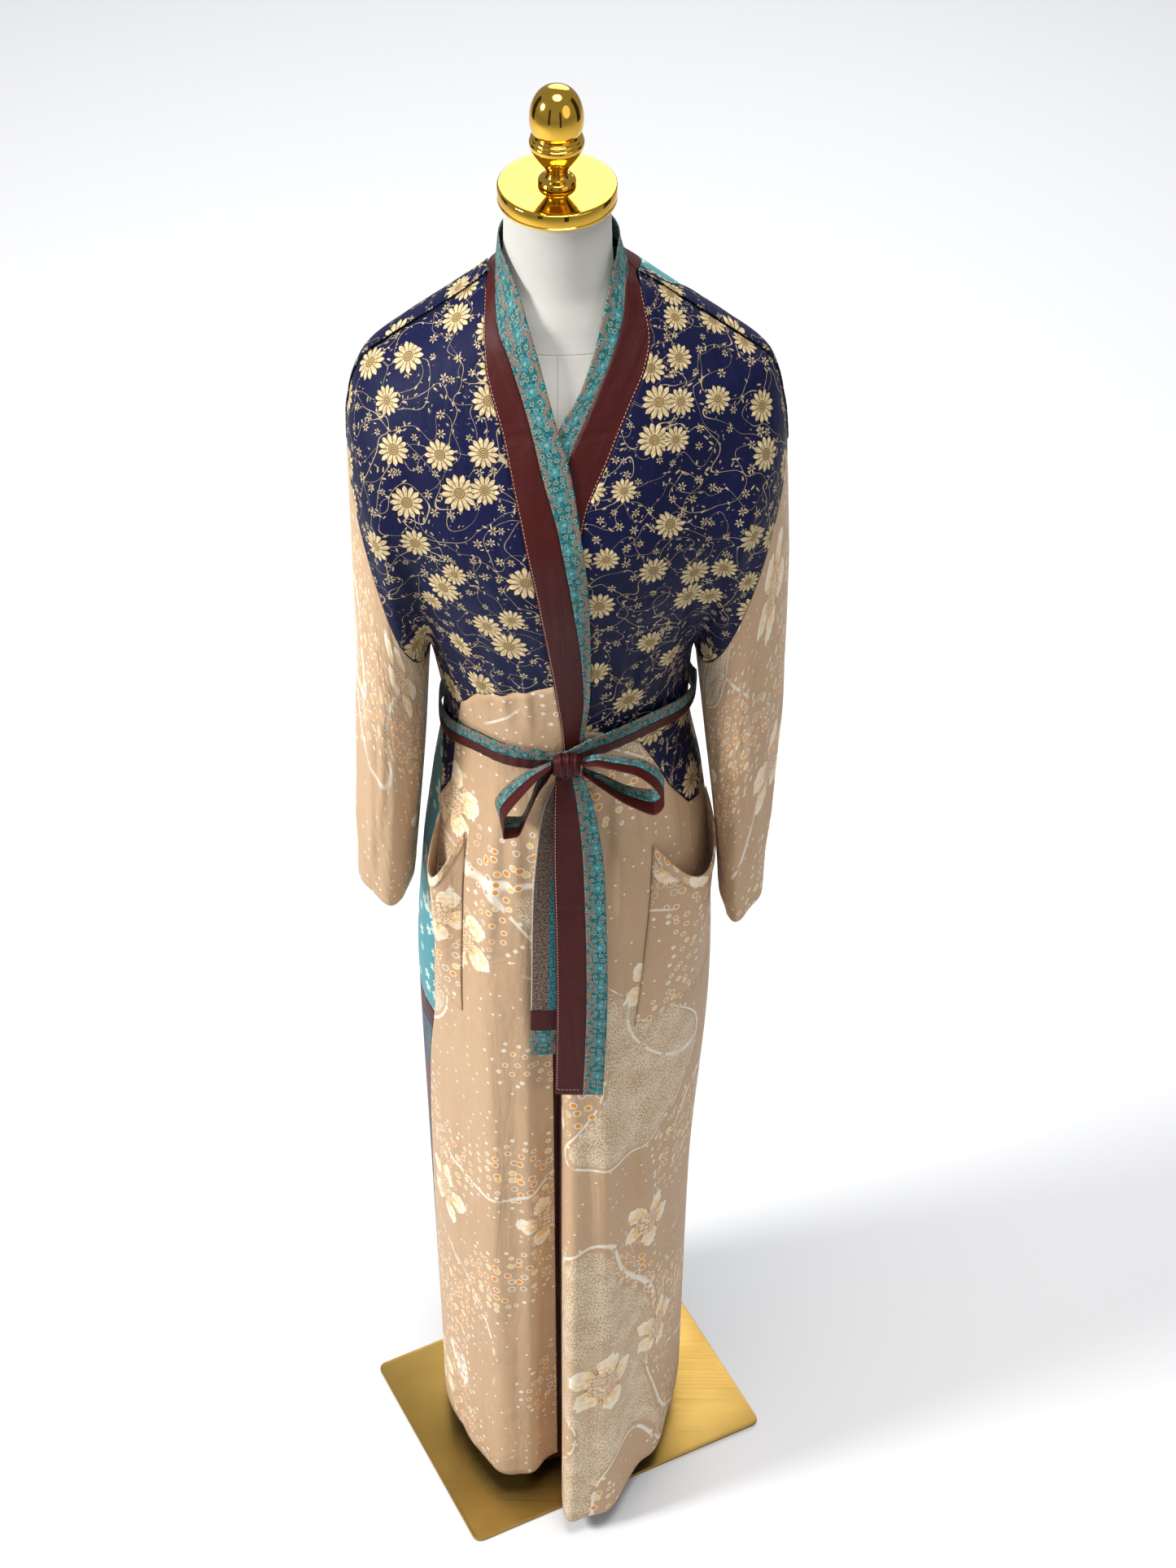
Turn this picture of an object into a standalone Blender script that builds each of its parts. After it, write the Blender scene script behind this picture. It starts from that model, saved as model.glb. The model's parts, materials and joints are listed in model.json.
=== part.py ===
"""A patchwork wrap robe, belted, on a limbless dress form with a gold neck cap and a base plate.

Metres, +Z up. The origin is the centre of the base plate's underside. The robe's front faces -Y,
and the wearer's right is at -X. The right front laps over the left one.

The body of the robe is one surface of oval rings, and each panel is a patch of it. A patch is a
grid of places (x, z) on the front or the back, which become points on the surface, and cloth()
makes a wall of them. Neighbours share the surface's normals, so their walls meet face to face.
"""
import math

import bmesh
import bpy
import numpy as np

GAP = 0.0003
CLOTH = 0.0012

NECK_Y = 0.045
UNDERARM_Z = 1.108
ARMHOLE_TOP_Z = 1.33
ARMHOLE_CURVE = 1.15
BELT_Z = 1.05
HEM_Z_RIGHT = 0.042
HEM_Z_LEFT = 0.022
HEM_Z_SIDE = 0.038

LAP_AT_BELT = 0.0029
LAP_AT_HEM = 0.0090
BAND_MAROON = 0.040
BAND_TURQUOISE = 0.025
BAND_AT_BELT = {"maroon": 0.020, "turquoise": 0.013}
BAND_SPREAD_HEIGHT = 0.30

# The right band's turned part lies this far under the front, from this height down.
TURNED_UNDER = 0.0036
TURNED_TOP_Z = 0.98
TURNED_WIDTH = 0.065
ARMHOLE_EASE = 0.0012

BELT_HEIGHT = 0.026
BELT_LIFT = 0.0032
BELT_PINCH = 0.35
BELT_PINCH_WIDTH = 9.0
BELT_COLUMNS = 40
KNOT_SIZE = (0.026, 0.016, 0.024)
KNOT_X = 0.006
KNOT_LIFT = 0.0008
KNOT_ROUND = 0.006
LOOP_SEAM = 0.006
TAIL_SEAM = (0.09, 0.10)
TAIL_BLOCK = ((0.829, 0.831), (0.904, 0.906))

PLATE_SIZE = (0.351, 0.263, 0.004)
PLATE_TURN = math.radians(26.9)
PLATE_CORNER = 0.009
POLE_RADIUS = 0.0125
POLE_Y = 0.033
FORM_BOTTOM_Z = 0.745


def table(names, rows):
    """A table's named columns, as arrays."""
    return {name: np.array(column, float) for name, column in zip(names.split(), zip(*rows))}


# The robe's rings from the collar to the hem: half widths to the wearer's right and left, the
# ring's middle in Y, and its depths to the front and the back.
BODY = table("z right left side_y front back", (
    (1.540, 0.0480, 0.0500, 0.045, 0.0500, 0.0520),
    (1.515, 0.0500, 0.0525, 0.045, 0.0520, 0.0545),
    (1.500, 0.0535, 0.0600, 0.045, 0.0560, 0.0580),
    (1.485, 0.0680, 0.0820, 0.044, 0.0610, 0.0620),
    (1.460, 0.1030, 0.1180, 0.041, 0.0700, 0.0700),
    (1.435, 0.1400, 0.1540, 0.038, 0.0800, 0.0780),
    (1.413, 0.1660, 0.1800, 0.036, 0.0895, 0.0840),
    (1.380, 0.1770, 0.1890, 0.035, 0.1060, 0.0900),
    (1.340, 0.1800, 0.1930, 0.035, 0.1220, 0.0940),
    (1.300, 0.1780, 0.1900, 0.035, 0.1330, 0.0960),
    (1.250, 0.1620, 0.1700, 0.035, 0.1340, 0.0930),
    (1.200, 0.1430, 0.1480, 0.035, 0.1270, 0.0860),
    (1.150, 0.1265, 0.1305, 0.035, 0.1180, 0.0780),
    (1.100, 0.1150, 0.1185, 0.035, 0.1110, 0.0720),
    (1.040, 0.1080, 0.1160, 0.035, 0.1060, 0.0680),
    (0.950, 0.1200, 0.1300, 0.035, 0.1120, 0.0790),
    (0.850, 0.1330, 0.1400, 0.034, 0.1180, 0.0980),
    (0.700, 0.1430, 0.1445, 0.033, 0.1220, 0.1050),
    (0.380, 0.1400, 0.1290, 0.032, 0.1250, 0.1080),
    (0.020, 0.1350, 0.1240, 0.032, 0.1270, 0.1120)))

# The sleeves' rings, from the shoulders to the cuffs.
SLEEVE = table("z inner_right inner_left outer_right outer_left front back", (
    (1.400, 0.1250, 0.1300, 0.1710, 0.1830, 0.030, 0.030),
    (1.360, 0.1100, 0.1150, 0.1800, 0.1925, 0.070, 0.060),
    (1.300, 0.1030, 0.1080, 0.1815, 0.1965, 0.088, 0.078),
    (1.200, 0.1060, 0.1100, 0.1830, 0.2015, 0.088, 0.085),
    (1.100, 0.1175, 0.1210, 0.1850, 0.2030, 0.085, 0.085),
    (1.000, 0.1240, 0.1310, 0.1880, 0.1985, 0.080, 0.082),
    (0.900, 0.1325, 0.1410, 0.1935, 0.1940, 0.074, 0.080),
    (0.800, 0.1420, 0.1480, 0.1970, 0.1905, 0.066, 0.076)))

# The collar band's edges, from the shoulder ridge down to the belt: the inner turquoise edge, the
# seam between turquoise and maroon, and the outer edge, where the band joins the yoke.
BAND_RIGHT = table("inner_x inner_z seam_x seam_z outer_x outer_z", (
    (-0.0485, 1.532, -0.0515, 1.507, -0.0590, 1.4935),
    (-0.0350, 1.511, -0.0500, 1.480, -0.0600, 1.470),
    (-0.0200, 1.472, -0.0390, 1.455, -0.0590, 1.450),
    (0.0010, 1.407, -0.0205, 1.404, -0.0440, 1.398),
    (0.0100, 1.380, -0.0120, 1.372, -0.0360, 1.362),
    (0.0180, 1.335, 0.0000, 1.330, -0.0275, 1.320),
    (0.0255, 1.265, 0.0110, 1.263, -0.0175, 1.262),
    (0.0270, 1.190, 0.0185, 1.190, -0.0085, 1.190),
    (0.0260, 1.130, 0.0205, 1.130, -0.0020, 1.130),
    (0.0215, 1.085, 0.0170, 1.085, 0.0025, 1.085),
    (0.0200, 1.062, 0.0160, 1.062, 0.0035, 1.062)))
BAND_LEFT = table("inner_x inner_z seam_x seam_z outer_x outer_z", (
    (0.0503, 1.530, 0.0570, 1.503, 0.0665, 1.4955),
    (0.0390, 1.493, 0.0535, 1.483, 0.0730, 1.479),
    (0.0290, 1.460, 0.0460, 1.461, 0.0765, 1.465),
    (0.0180, 1.434, 0.0370, 1.442, 0.0730, 1.449),
    (0.0010, 1.407, 0.0235, 1.414, 0.0590, 1.421),
    (-0.0080, 1.375, 0.0090, 1.383, 0.0430, 1.386),
    (-0.0170, 1.325, -0.0010, 1.332, 0.0230, 1.340),
    (-0.0255, 1.262, -0.0080, 1.262, 0.0120, 1.262),
    (-0.0300, 1.190, -0.0150, 1.190, 0.0060, 1.190),
    (-0.0320, 1.130, -0.0180, 1.130, 0.0020, 1.130),
    (-0.0330, 1.075, -0.0200, 1.075, 0.0000, 1.075),
    (-0.0330, 1.040, -0.0200, 1.040, 0.0000, 1.040)))

# The same band's edges behind the neck, by height, at the side, the back corner and the middle.
NECK_BAND = table("turn inner_z seam_z outer_z", (
    (0.0, 1.531, 1.505, 1.4945),
    (45.0, 1.532, 1.507, 1.485),
    (90.0, 1.532, 1.507, 1.480)))

# The seam between each yoke and its skirt, from the band to the side seam.
YOKE_SEAM_RIGHT = table("x z", (
    (-0.0045, 1.153), (-0.036, 1.140), (-0.072, 1.119), (-0.089, 1.088),
    (-0.096, 1.030), (-0.101, 0.980), (-0.1118, 0.952)))
YOKE_SEAM_LEFT = table("x z", (
    (0.0000, 1.095), (0.037, 1.083), (0.070, 1.056), (0.100, 0.985), (0.118, 0.946), (0.1315, 0.930)))

# The side seam, as degrees round the ring from the front's middle. On the wearer's right the back
# panels come round to the front.
SIDE_SEAM = table("z right left", (
    (1.100, -90.0, 90.0), (1.030, -90.0, 90.0), (0.990, -74.0, 90.0), (0.950, -69.0, 90.0),
    (0.810, -61.0, 90.0), (0.700, -60.0, 90.0), (0.587, -68.0, 90.0), (0.380, -77.0, 90.0),
    (0.020, -84.0, 90.0)))

# Heights where neighbours share their points: the back's waist piece, its skirt, its border and
# its hem piece end on some of them.
BORDER_Z = (0.672, 0.645)
WAIST_ROWS = (1.075, 1.050, 1.025)
YOKE_FOOT = {"right": 0.952, "left": 0.932}
SKIRT_ROWS = (0.925, 0.900, 0.875, 0.850, 0.800, 0.738, 0.672, 0.570, 0.470, 0.365, 0.255, 0.150,
              HEM_Z_SIDE)
BACK_ROWS = (0.990, 0.952, 0.900, 0.850, 0.800, 0.738, *BORDER_Z, 0.570, 0.470, 0.365, 0.255, 0.150,
             HEM_Z_SIDE)

# Degrees round a sleeve's top, and round the back of the neck, where neighbours share points.
SLEEVE_TURNS = np.arange(0, 360, 18.0)
ARMHOLE_TURNS = np.arange(0, 181, 18.0)
BACK_YOKE_TURN = 108.0
NECK_TURNS = np.linspace(0, 180, 9)
YOKE_COLUMNS = 14
RIDGE_COLUMNS = 7
SKIRT_COLUMNS = 24
BACK_COLUMNS = 25
BACK_TURN = 269.75

# Free edges of the fronts below the belt: the right front's fold and the left front's edge.
SKIRT_EDGE = table("z right left", (
    (1.050, 0.0190, -0.0330), (1.010, 0.0120, -0.0340), (0.960, -0.0010, -0.0380),
    (0.850, -0.0060, -0.0500), (0.700, -0.0085, -0.0600), (0.020, -0.0090, -0.0620)))

# Folds of the skirt, as humps of the wall that start at a height and grow down to the hem. The
# left and right widths are each side's, and a power of 4 makes that side a steep wall.
FOLD_COLUMNS = "x depth left right power_left power_right lean top"
FOLDS = {
    "over": table(FOLD_COLUMNS, (
        (-0.124, 0.006, 0.010, 0.011, 2, 2, 0.000, 0.70),
        (-0.084, 0.024, 0.030, 0.030, 2, 2, 0.000, 1.00),
        (-0.045, 0.034, 0.020, 0.019, 2, 4, -0.006, 0.98))),
    "under": table(FOLD_COLUMNS, (
        (0.020, 0.084, 0.018, 0.053, 4, 2, 0.018, 0.97),
        (0.088, 0.010, 0.016, 0.016, 2, 2, 0.000, 0.90))),
    "back": table(FOLD_COLUMNS, (
        (-0.108, 0.014, 0.013, 0.013, 2, 2, 0.000, 0.76),
        (-0.070, 0.022, 0.018, 0.016, 2, 2, 0.000, 1.00),
        (-0.018, 0.018, 0.016, 0.018, 2, 2, 0.000, 0.96),
        (0.036, 0.024, 0.018, 0.018, 2, 2, 0.000, 1.00),
        (0.088, 0.017, 0.015, 0.014, 2, 2, 0.000, 0.94)))}

# Long folds of the sleeves, by degrees round the sleeve from its outer side through the front.
SLEEVE_FOLDS = table("turn depth width", (
    (38.0, 0.008, 20.0), (104.0, 0.009, 22.0), (162.0, 0.002, 18.0),
    (214.0, 0.002, 20.0), (268.0, 0.009, 22.0), (326.0, 0.007, 20.0)))

# The sleeves' cuffs, which hang lower at the back and higher on the outer side, and how the tubes
# draw in below the underarm as their folds deepen.
CUFF_Z = {"right": 0.838, "left": 0.815}
CUFF_RISE = (0.012, 0.008)
SLEEVE_TOP_GAP = 0.0004
SLEEVE_FALL = 0.40
SLEEVE_DRAW_IN = (0.004, 0.006)
SLEEVE_FOLD_DEPTH = (0.04, 0.45)

# Patch pockets: the edge towards the front and the one towards the side, in degrees round the
# ring, at the mouth and the bottom, the heights, and how far the mouth sags and stands off.
POCKETS = {
    "right": table("z front side", ((0.940, -45.0, -64.0), (0.720, -39.0, -57.0))),
    "left": table("z front side", ((0.930, 39.0, 84.0), (0.715, 27.5, 72.0)))}
POCKET_SAG = {"right": 0.060, "left": 0.055}
POCKET_BULGE = {"right": 0.020, "left": 0.024}
POCKET_GRID = (8, 9)

# The belt's height round the waist, in degrees from the front's middle.
BELT_RISE = table("turn z", (
    (-180, 1.045), (-125, 1.035), (-80, 1.030), (-40, 1.052), (-14, 1.057), (0, 1.060),
    (14, 1.072), (38, 1.080), (72, 1.062), (125, 1.045), (180, 1.045)))

# The bow, relative to the knot's middle: places along each ribbon, its width and the direction of
# its width.
RIBBON_COLUMNS = "x y z width across_x across_y across_z"
LOOP_LEFT = table(RIBBON_COLUMNS, (
    (0.0138, 0.000, 0.003, 0.015, 0.00, -0.95, 0.30),
    (0.032, -0.008, 0.013, 0.026, -0.10, -0.95, 0.35),
    (0.060, -0.014, 0.012, 0.032, -0.10, -0.95, 0.30),
    (0.080, -0.018, 0.000, 0.032, -0.05, -1.00, 0.10),
    (0.086, -0.019, -0.014, 0.032, 0.00, -1.00, 0.00),
    (0.076, -0.019, -0.027, 0.031, 0.05, -1.00, -0.05),
    (0.055, -0.015, -0.023, 0.029, 0.05, -1.00, 0.10),
    (0.032, -0.009, -0.012, 0.024, 0.00, -0.98, 0.15),
    (0.0138, -0.001, -0.006, 0.015, 0.00, -0.95, 0.20)))
LOOP_RIGHT = table(RIBBON_COLUMNS, (
    (-0.0138, 0.000, 0.000, 0.015, 0.00, -0.95, 0.30),
    (-0.026, -0.006, -0.004, 0.022, 0.20, -0.95, 0.25),
    (-0.046, -0.010, -0.022, 0.028, 0.30, -0.95, 0.15),
    (-0.060, -0.012, -0.046, 0.029, 0.30, -0.95, 0.05),
    (-0.058, -0.012, -0.066, 0.029, 0.10, -1.00, 0.00),
    (-0.044, -0.011, -0.066, 0.028, -0.10, -1.00, 0.05),
    (-0.034, -0.009, -0.044, 0.024, -0.10, -1.00, 0.10),
    (-0.026, -0.006, -0.022, 0.018, 0.00, -0.98, 0.15),
    (-0.0142, -0.001, -0.007, 0.012, 0.00, -0.95, 0.20)))
TAIL_FRONT = table(RIBBON_COLUMNS, (
    (0.002, -0.0018, -0.0123, 0.024, 1.0, 0.00, 0.0),
    (0.006, -0.009, -0.045, 0.036, 1.0, 0.10, 0.0),
    (0.011, -0.020, -0.130, 0.047, 1.0, 0.08, 0.0),
    (0.013, -0.036, -0.260, 0.048, 1.0, 0.00, 0.0),
    (0.010, -0.046, -0.390, 0.046, 1.0, -0.05, 0.0)))
TAIL_REAR = table(RIBBON_COLUMNS, (
    (-0.001, 0.0014, -0.0123, 0.012, 1.0, 0.00, 0.0),
    (-0.012, -0.001, -0.060, 0.022, 1.0, 0.10, 0.0),
    (-0.019, -0.013, -0.150, 0.026, 1.0, 0.15, 0.0),
    (-0.021, -0.026, -0.260, 0.027, 1.0, 0.05, 0.0),
    (-0.023, -0.034, -0.346, 0.027, 1.0, 0.00, 0.0)))

# The dress form's rings, from the neck down: half width, middle in Y, depths to front and back.
FORM = table("z width side_y front back", (
    (1.5650, 0.0435, 0.045, 0.0435, 0.0435),
    (1.5300, 0.0446, 0.045, 0.0446, 0.0446),
    (1.5000, 0.0462, 0.045, 0.0462, 0.0466),
    (1.4800, 0.0630, 0.043, 0.0520, 0.0520),
    (1.4640, 0.0880, 0.041, 0.0540, 0.0560),
    (1.4460, 0.1140, 0.039, 0.0600, 0.0620),
    (1.4130, 0.1480, 0.036, 0.0810, 0.0740),
    (1.3600, 0.1600, 0.035, 0.1050, 0.0840),
    (1.3000, 0.1500, 0.035, 0.1240, 0.0880),
    (1.2000, 0.1260, 0.035, 0.1150, 0.0780),
    (1.1000, 0.1040, 0.035, 0.0990, 0.0640),
    (1.0400, 0.0990, 0.035, 0.0960, 0.0600),
    (0.9500, 0.1100, 0.035, 0.0980, 0.0700),
    (0.8500, 0.1220, 0.034, 0.1000, 0.0860),
    (0.7900, 0.1240, 0.033, 0.0980, 0.0860),
    (0.7560, 0.1160, 0.033, 0.0900, 0.0800),
    (0.7450, 0.0980, 0.033, 0.0720, 0.0640)))

FORM_HEIGHTS = np.concatenate(((1.565, 1.530, 1.500), np.linspace(1.485, 1.34, 8),
                               np.linspace(1.27, 0.80, 8), (0.775, 0.755, 0.745)))

# The finial's and the neck cap's profiles, from the top down.
FINIAL = table("radius z", (
    (0.0000, 1.6690), (0.0072, 1.6670), (0.0140, 1.6610), (0.0195, 1.6520), (0.0222, 1.6420),
    (0.0216, 1.6340), (0.0182, 1.6275), (0.0180, 1.6245), (0.0196, 1.6232), (0.0226, 1.6190),
    (0.0222, 1.6150), (0.0178, 1.6065), (0.0140, 1.6005), (0.0098, 1.5950), (0.0088, 1.5905),
    (0.0105, 1.5872), (0.0152, 1.5850), (0.0157, 1.5830), (0.0157, 1.5803), (0.0000, 1.5803)))
CAP = table("radius z", (
    (0.0000, 1.5800), (0.0478, 1.5800), (0.0488, 1.5792), (0.0488, 1.5663), (0.0480, 1.5655),
    (0.0000, 1.5655)))

COLOURS = {
    "navy": (0.012, 0.014, 0.060, 1.0), "beige": (0.56, 0.36, 0.22, 1.0),
    "turquoise": (0.06, 0.30, 0.33, 1.0), "maroon": (0.095, 0.012, 0.018, 1.0),
    "red": (0.22, 0.05, 0.035, 1.0), "teal": (0.02, 0.07, 0.085, 1.0),
    "linen": (0.72, 0.71, 0.66, 1.0), "gold": (0.83, 0.55, 0.10, 1.0),
    "bronze": (0.45, 0.31, 0.10, 1.0)}
METALS = {"gold": 0.12, "bronze": 0.28}

for old in list(bpy.data.objects):
    bpy.data.objects.remove(old, do_unlink=True)
ROBE = bpy.data.collections.new("Patchwork robe on dress form")
bpy.context.scene.collection.children.link(ROBE)


def material(name):
    """The material of one colour, made once."""
    made = bpy.data.materials.get(name)
    if made:
        return made
    made = bpy.data.materials.new(name)
    made.use_nodes = True
    shader = made.node_tree.nodes["Principled BSDF"]
    shader.inputs["Base Color"].default_value = COLOURS[name]
    shader.inputs["Metallic"].default_value = 1.0 if name in METALS else 0.0
    shader.inputs["Roughness"].default_value = METALS.get(name, 0.7)
    return made


def smooth(places, knots, values):
    """Values at some places of a smooth curve through a column, with no overshoot between rows."""
    if knots[0] > knots[-1]:
        knots, values = knots[::-1], values[::-1]
    step = np.diff(knots)
    secant = np.diff(values) / step
    same_way = secant[:-1] * secant[1:] > 0
    total = np.where(same_way, secant[:-1] + secant[1:], 1.0)
    inner_slope = np.where(same_way, 2 * secant[:-1] * secant[1:] / total, 0.0)
    slope = np.concatenate((secant[:1], inner_slope, secant[-1:]))
    places = np.clip(places, knots[0], knots[-1])
    row = np.clip(np.searchsorted(knots, places) - 1, 0, len(knots) - 2)
    h = step[row]
    s = (places - knots[row]) / h
    return ((1 + 2 * s) * (1 - s) ** 2 * values[row] + s * (1 - s) ** 2 * h * slope[row]
            + s * s * (3 - 2 * s) * values[row + 1] + s * s * (s - 1) * h * slope[row + 1])


def column(rings, name, z):
    """A ring table's column at some heights."""
    return smooth(z, rings["z"], rings[name])


def by_side(rings, name, x, z):
    """A column that has a right and a left version, taken on the side where x lies."""
    right = column(rings, name + "right", z)
    left = column(rings, name + "left", z)
    return np.where(x > 0, left, right)


def ease(value):
    """A smooth step from 0 to 1."""
    value = np.clip(value, 0.0, 1.0)
    return value * value * (3 - 2 * value)


def depth(x, z, face):
    """How far the robe stands in front of, or behind, its ring's middle: body and sleeve joined."""
    width = by_side(BODY, "", x, z)
    body = column(BODY, face, z) * np.sqrt(np.maximum(0.0, 1 - (x / width) ** 2))
    inner = by_side(SLEEVE, "inner_", x, z)
    outer = by_side(SLEEVE, "outer_", x, z)
    across = (np.abs(x) - (inner + outer) / 2) / ((outer - inner) / 2)
    sleeve = column(SLEEVE, face, z) * np.sqrt(np.maximum(0.0, 1 - across ** 2))
    sleeve = np.where((z > SLEEVE["z"][0]) | (z < UNDERARM_Z), 0.0, sleeve)
    return (body ** 6 + sleeve ** 6) ** (1 / 6)


def lap(x, z):
    """How far the right front lies over the left one."""
    edge = np.where(z > BAND_LEFT["inner_z"][-1], np.interp(-z, -BAND_LEFT["inner_z"], BAND_LEFT["inner_x"]),
                    column(SKIRT_EDGE, "left", z))
    height = np.interp(-z, (-BELT_Z, -0.95), (LAP_AT_BELT, LAP_AT_HEM))
    return height * ease((x - edge + 0.045) / 0.035)


def humps(x, z, layer):
    """The folds' height over the ring and their sideways lean."""
    height, shift = np.zeros_like(x * z), np.zeros_like(x * z)
    for row in zip(*FOLDS[layer].values()):
        place, size, left, right, power_left, power_right, lean, top = row
        away = x - place
        width = np.where(away < 0, left, right)
        power = np.where(away < 0, power_left, power_right)
        hump = np.exp(-np.abs(away / width) ** power)
        hump = hump * np.clip((top - z) / (top - HEM_Z_LEFT), 0.0, 1.0)
        height = height + size * hump
        shift = shift - lean * hump
    return height, shift


def robe(x, z, layer):
    """Points of the robe's surface at places (x, z) of its over or under front, or its back."""
    face = "back" if layer == "back" else "front"
    sign = 1.0 if layer == "back" else -1.0
    width = by_side(BODY, "", x, z)
    deep = depth(x, z, face)
    height, shift = humps(x, z, layer)
    if layer == "over":
        height = height + lap(x, z)
    lean_x = np.clip(x / width, -1.0, 1.0) / width
    lean_y = np.sqrt(np.maximum(0.0, 1 - (lean_x * width) ** 2)) / column(BODY, face, z)
    size = np.hypot(lean_x, lean_y)
    y = column(BODY, "side_y", z) + sign * (deep + height * lean_y / size)
    return np.stack((x + shift + height * lean_x / size, y, z + 0 * x), -1)


def ring(turn, z, layer="over"):
    """Points of the body's ring below the underarm, by degrees from the front's middle."""
    angle = np.radians(turn)
    x = np.where(np.sin(angle) > 0, column(BODY, "left", z), column(BODY, "right", z)) * np.sin(angle)
    front = robe(x, z, layer if layer != "back" else "over")
    back = robe(x, z, "back")
    return np.where((np.cos(angle) > 0)[..., None], front, back)


def underarm(side):
    """Half way between the body and the sleeve, where they part."""
    return (column(BODY, side, UNDERARM_Z) + column(SLEEVE, "inner_" + side, UNDERARM_Z)) / 2


def armhole_gap(share):
    """Half the gap along the armhole seam, wider at the underarm, where the walls turn away."""
    return GAP / 2 + ARMHOLE_EASE * (1 - share) ** 4


def sleeve(turn, z, side):
    """Points of a sleeve, by degrees from its outer side through its front."""
    angle = np.radians(turn)
    above = z > UNDERARM_Z
    share = (1 + np.cos(angle)) / 2
    inner = np.where(above, underarm(side), column(SLEEVE, "inner_" + side, z))
    outer = column(SLEEVE, "outer_" + side, z)
    sign = 1.0 if side == "left" else -1.0
    x = sign * (inner + (outer - inner) * share)
    front = np.sin(angle) > 0
    hang = np.clip((UNDERARM_Z + SLEEVE_FALL / 4 - z) / SLEEVE_FALL, 0.0, 1.0)
    fold = np.zeros_like(x)
    for place, size, wide in zip(*SLEEVE_FOLDS.values()):
        away = (turn - place + 180) % 360 - 180
        fold = fold + size * np.exp(-(away / wide) ** 2) * hang
    thick, share_deep = SLEEVE_FOLD_DEPTH
    swell = (fold - SLEEVE_DRAW_IN[1] * hang) / thick * share_deep
    low = np.abs(np.sin(angle)) * np.where(front, column(SLEEVE, "front", z), column(SLEEVE, "back", z))
    high = np.where(front, depth(x, z, "front"), depth(x, z, "back"))
    deep = np.where(z < UNDERARM_Z, low * (1 + swell), high)
    x = x + sign * ((fold - SLEEVE_DRAW_IN[0] * hang) * np.cos(angle)
                    + np.where(above, armhole_gap(share), 0.0))
    y = column(BODY, "side_y", z) + np.where(front, -deep, deep)
    return np.stack((x, y, z + 0 * x), -1)


def cloth(name, colour, surface, a, b, lift=0.0, ring_closed=False):
    """A wall of cloth over a grid of places (a, b) of a surface, a lift away from it."""
    tiny = 1e-4
    points = surface(a, b)
    along_a = surface(a + tiny, b) - surface(a - tiny, b)
    along_b = surface(a, b + tiny) - surface(a, b - tiny)
    normal = np.cross(along_a, along_b)
    normal /= np.maximum(np.linalg.norm(normal, axis=-1, keepdims=True), 1e-12)
    axis = np.stack((0 * points[..., 0], 0 * points[..., 0] + column(BODY, "side_y", points[..., 2]),
                     points[..., 2]), -1)
    if np.sum(normal * (points - axis)) < 0:
        normal = -normal
    lift = np.broadcast_to(lift, a.shape)[..., None]
    outer = points + normal * (lift + CLOTH / 2)
    inner = points + normal * (lift - CLOTH / 2)
    return wall(name, colour, outer, inner, ring_closed)


def wall(name, colour, outer, inner, ring_closed=False):
    """A closed wall between two grids of points."""
    rows, columns = outer.shape[:2]
    body = bmesh.new()
    out = [[body.verts.new(p) for p in row] for row in outer]
    back = [[body.verts.new(p) for p in row] for row in inner]
    last = columns if ring_closed else columns - 1
    for r in range(rows - 1):
        for c in range(last):
            n = (c + 1) % columns
            body.faces.new((out[r][c], out[r][n], out[r + 1][n], out[r + 1][c]))
            body.faces.new((back[r][c], back[r + 1][c], back[r + 1][n], back[r][n]))
    for r, order in ((0, 1), (rows - 1, -1)):
        for c in range(last):
            n = (c + 1) % columns
            body.faces.new((out[r][c], back[r][c], back[r][n], out[r][n])[::order])
    if not ring_closed:
        for c, order in ((0, -1), (columns - 1, 1)):
            for r in range(rows - 1):
                body.faces.new((out[r][c], back[r][c], back[r + 1][c], out[r + 1][c])[::order])
    bmesh.ops.recalc_face_normals(body, faces=body.faces)
    return finish(name, colour, body)


def finish(name, colour, body):
    """A named object of a bmesh, shaded smooth but for its sharp edges."""
    mesh = bpy.data.meshes.new(name)
    body.to_mesh(mesh)
    body.free()
    mesh.materials.append(material(colour))
    mesh.shade_smooth()
    mesh.set_sharp_from_angle(angle=math.radians(40))
    made = bpy.data.objects.new(name, mesh)
    ROBE.objects.link(made)
    return made


def path(points, count):
    """Evenly spread places along a line of (x, z) points."""
    points = np.asarray(points, float)
    run = np.concatenate(((0.0,), np.cumsum(np.hypot(*np.diff(points, axis=0).T))))
    share = np.linspace(0, 1, count) * run[-1]
    return np.stack((np.interp(share, run, points[:, 0]), np.interp(share, run, points[:, 1])), -1)


def patch(top, bottom, start, end):
    """A grid of places inside four border lines; top and bottom run the same way."""
    v, u = np.meshgrid(np.linspace(0, 1, len(start)), np.linspace(0, 1, len(top)), indexing="ij")
    u, v = u[..., None], v[..., None]
    corners = ((1 - u) * (1 - v) * top[0] + u * (1 - v) * top[-1]
               + (1 - u) * v * bottom[0] + u * v * bottom[-1])
    return ((1 - v) * top[None] + v * bottom[None] + (1 - u) * start[:, None] + u * end[:, None]
            - corners)


def outline(z, sign):
    """The robe's half width at some heights above the underarm, sleeves and all."""
    side = "left" if sign > 0 else "right"
    body = column(BODY, side, z)
    arm = np.where(z > SLEEVE["z"][0], 0.0, column(SLEEVE, "outer_" + side, z))
    return sign * np.maximum(body, arm)


def armhole(sign, turns):
    """Places down an armhole seam, by degrees round the sleeve from its outer side."""
    side = "left" if sign > 0 else "right"
    share = (1 + np.cos(np.radians(turns))) / 2
    z = UNDERARM_Z + (ARMHOLE_TOP_Z - UNDERARM_Z) * share ** ARMHOLE_CURVE
    x = underarm(side) + (np.abs(outline(z, sign)) - underarm(side)) * share
    return np.stack((sign * (x - armhole_gap(share)), z), -1)


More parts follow.
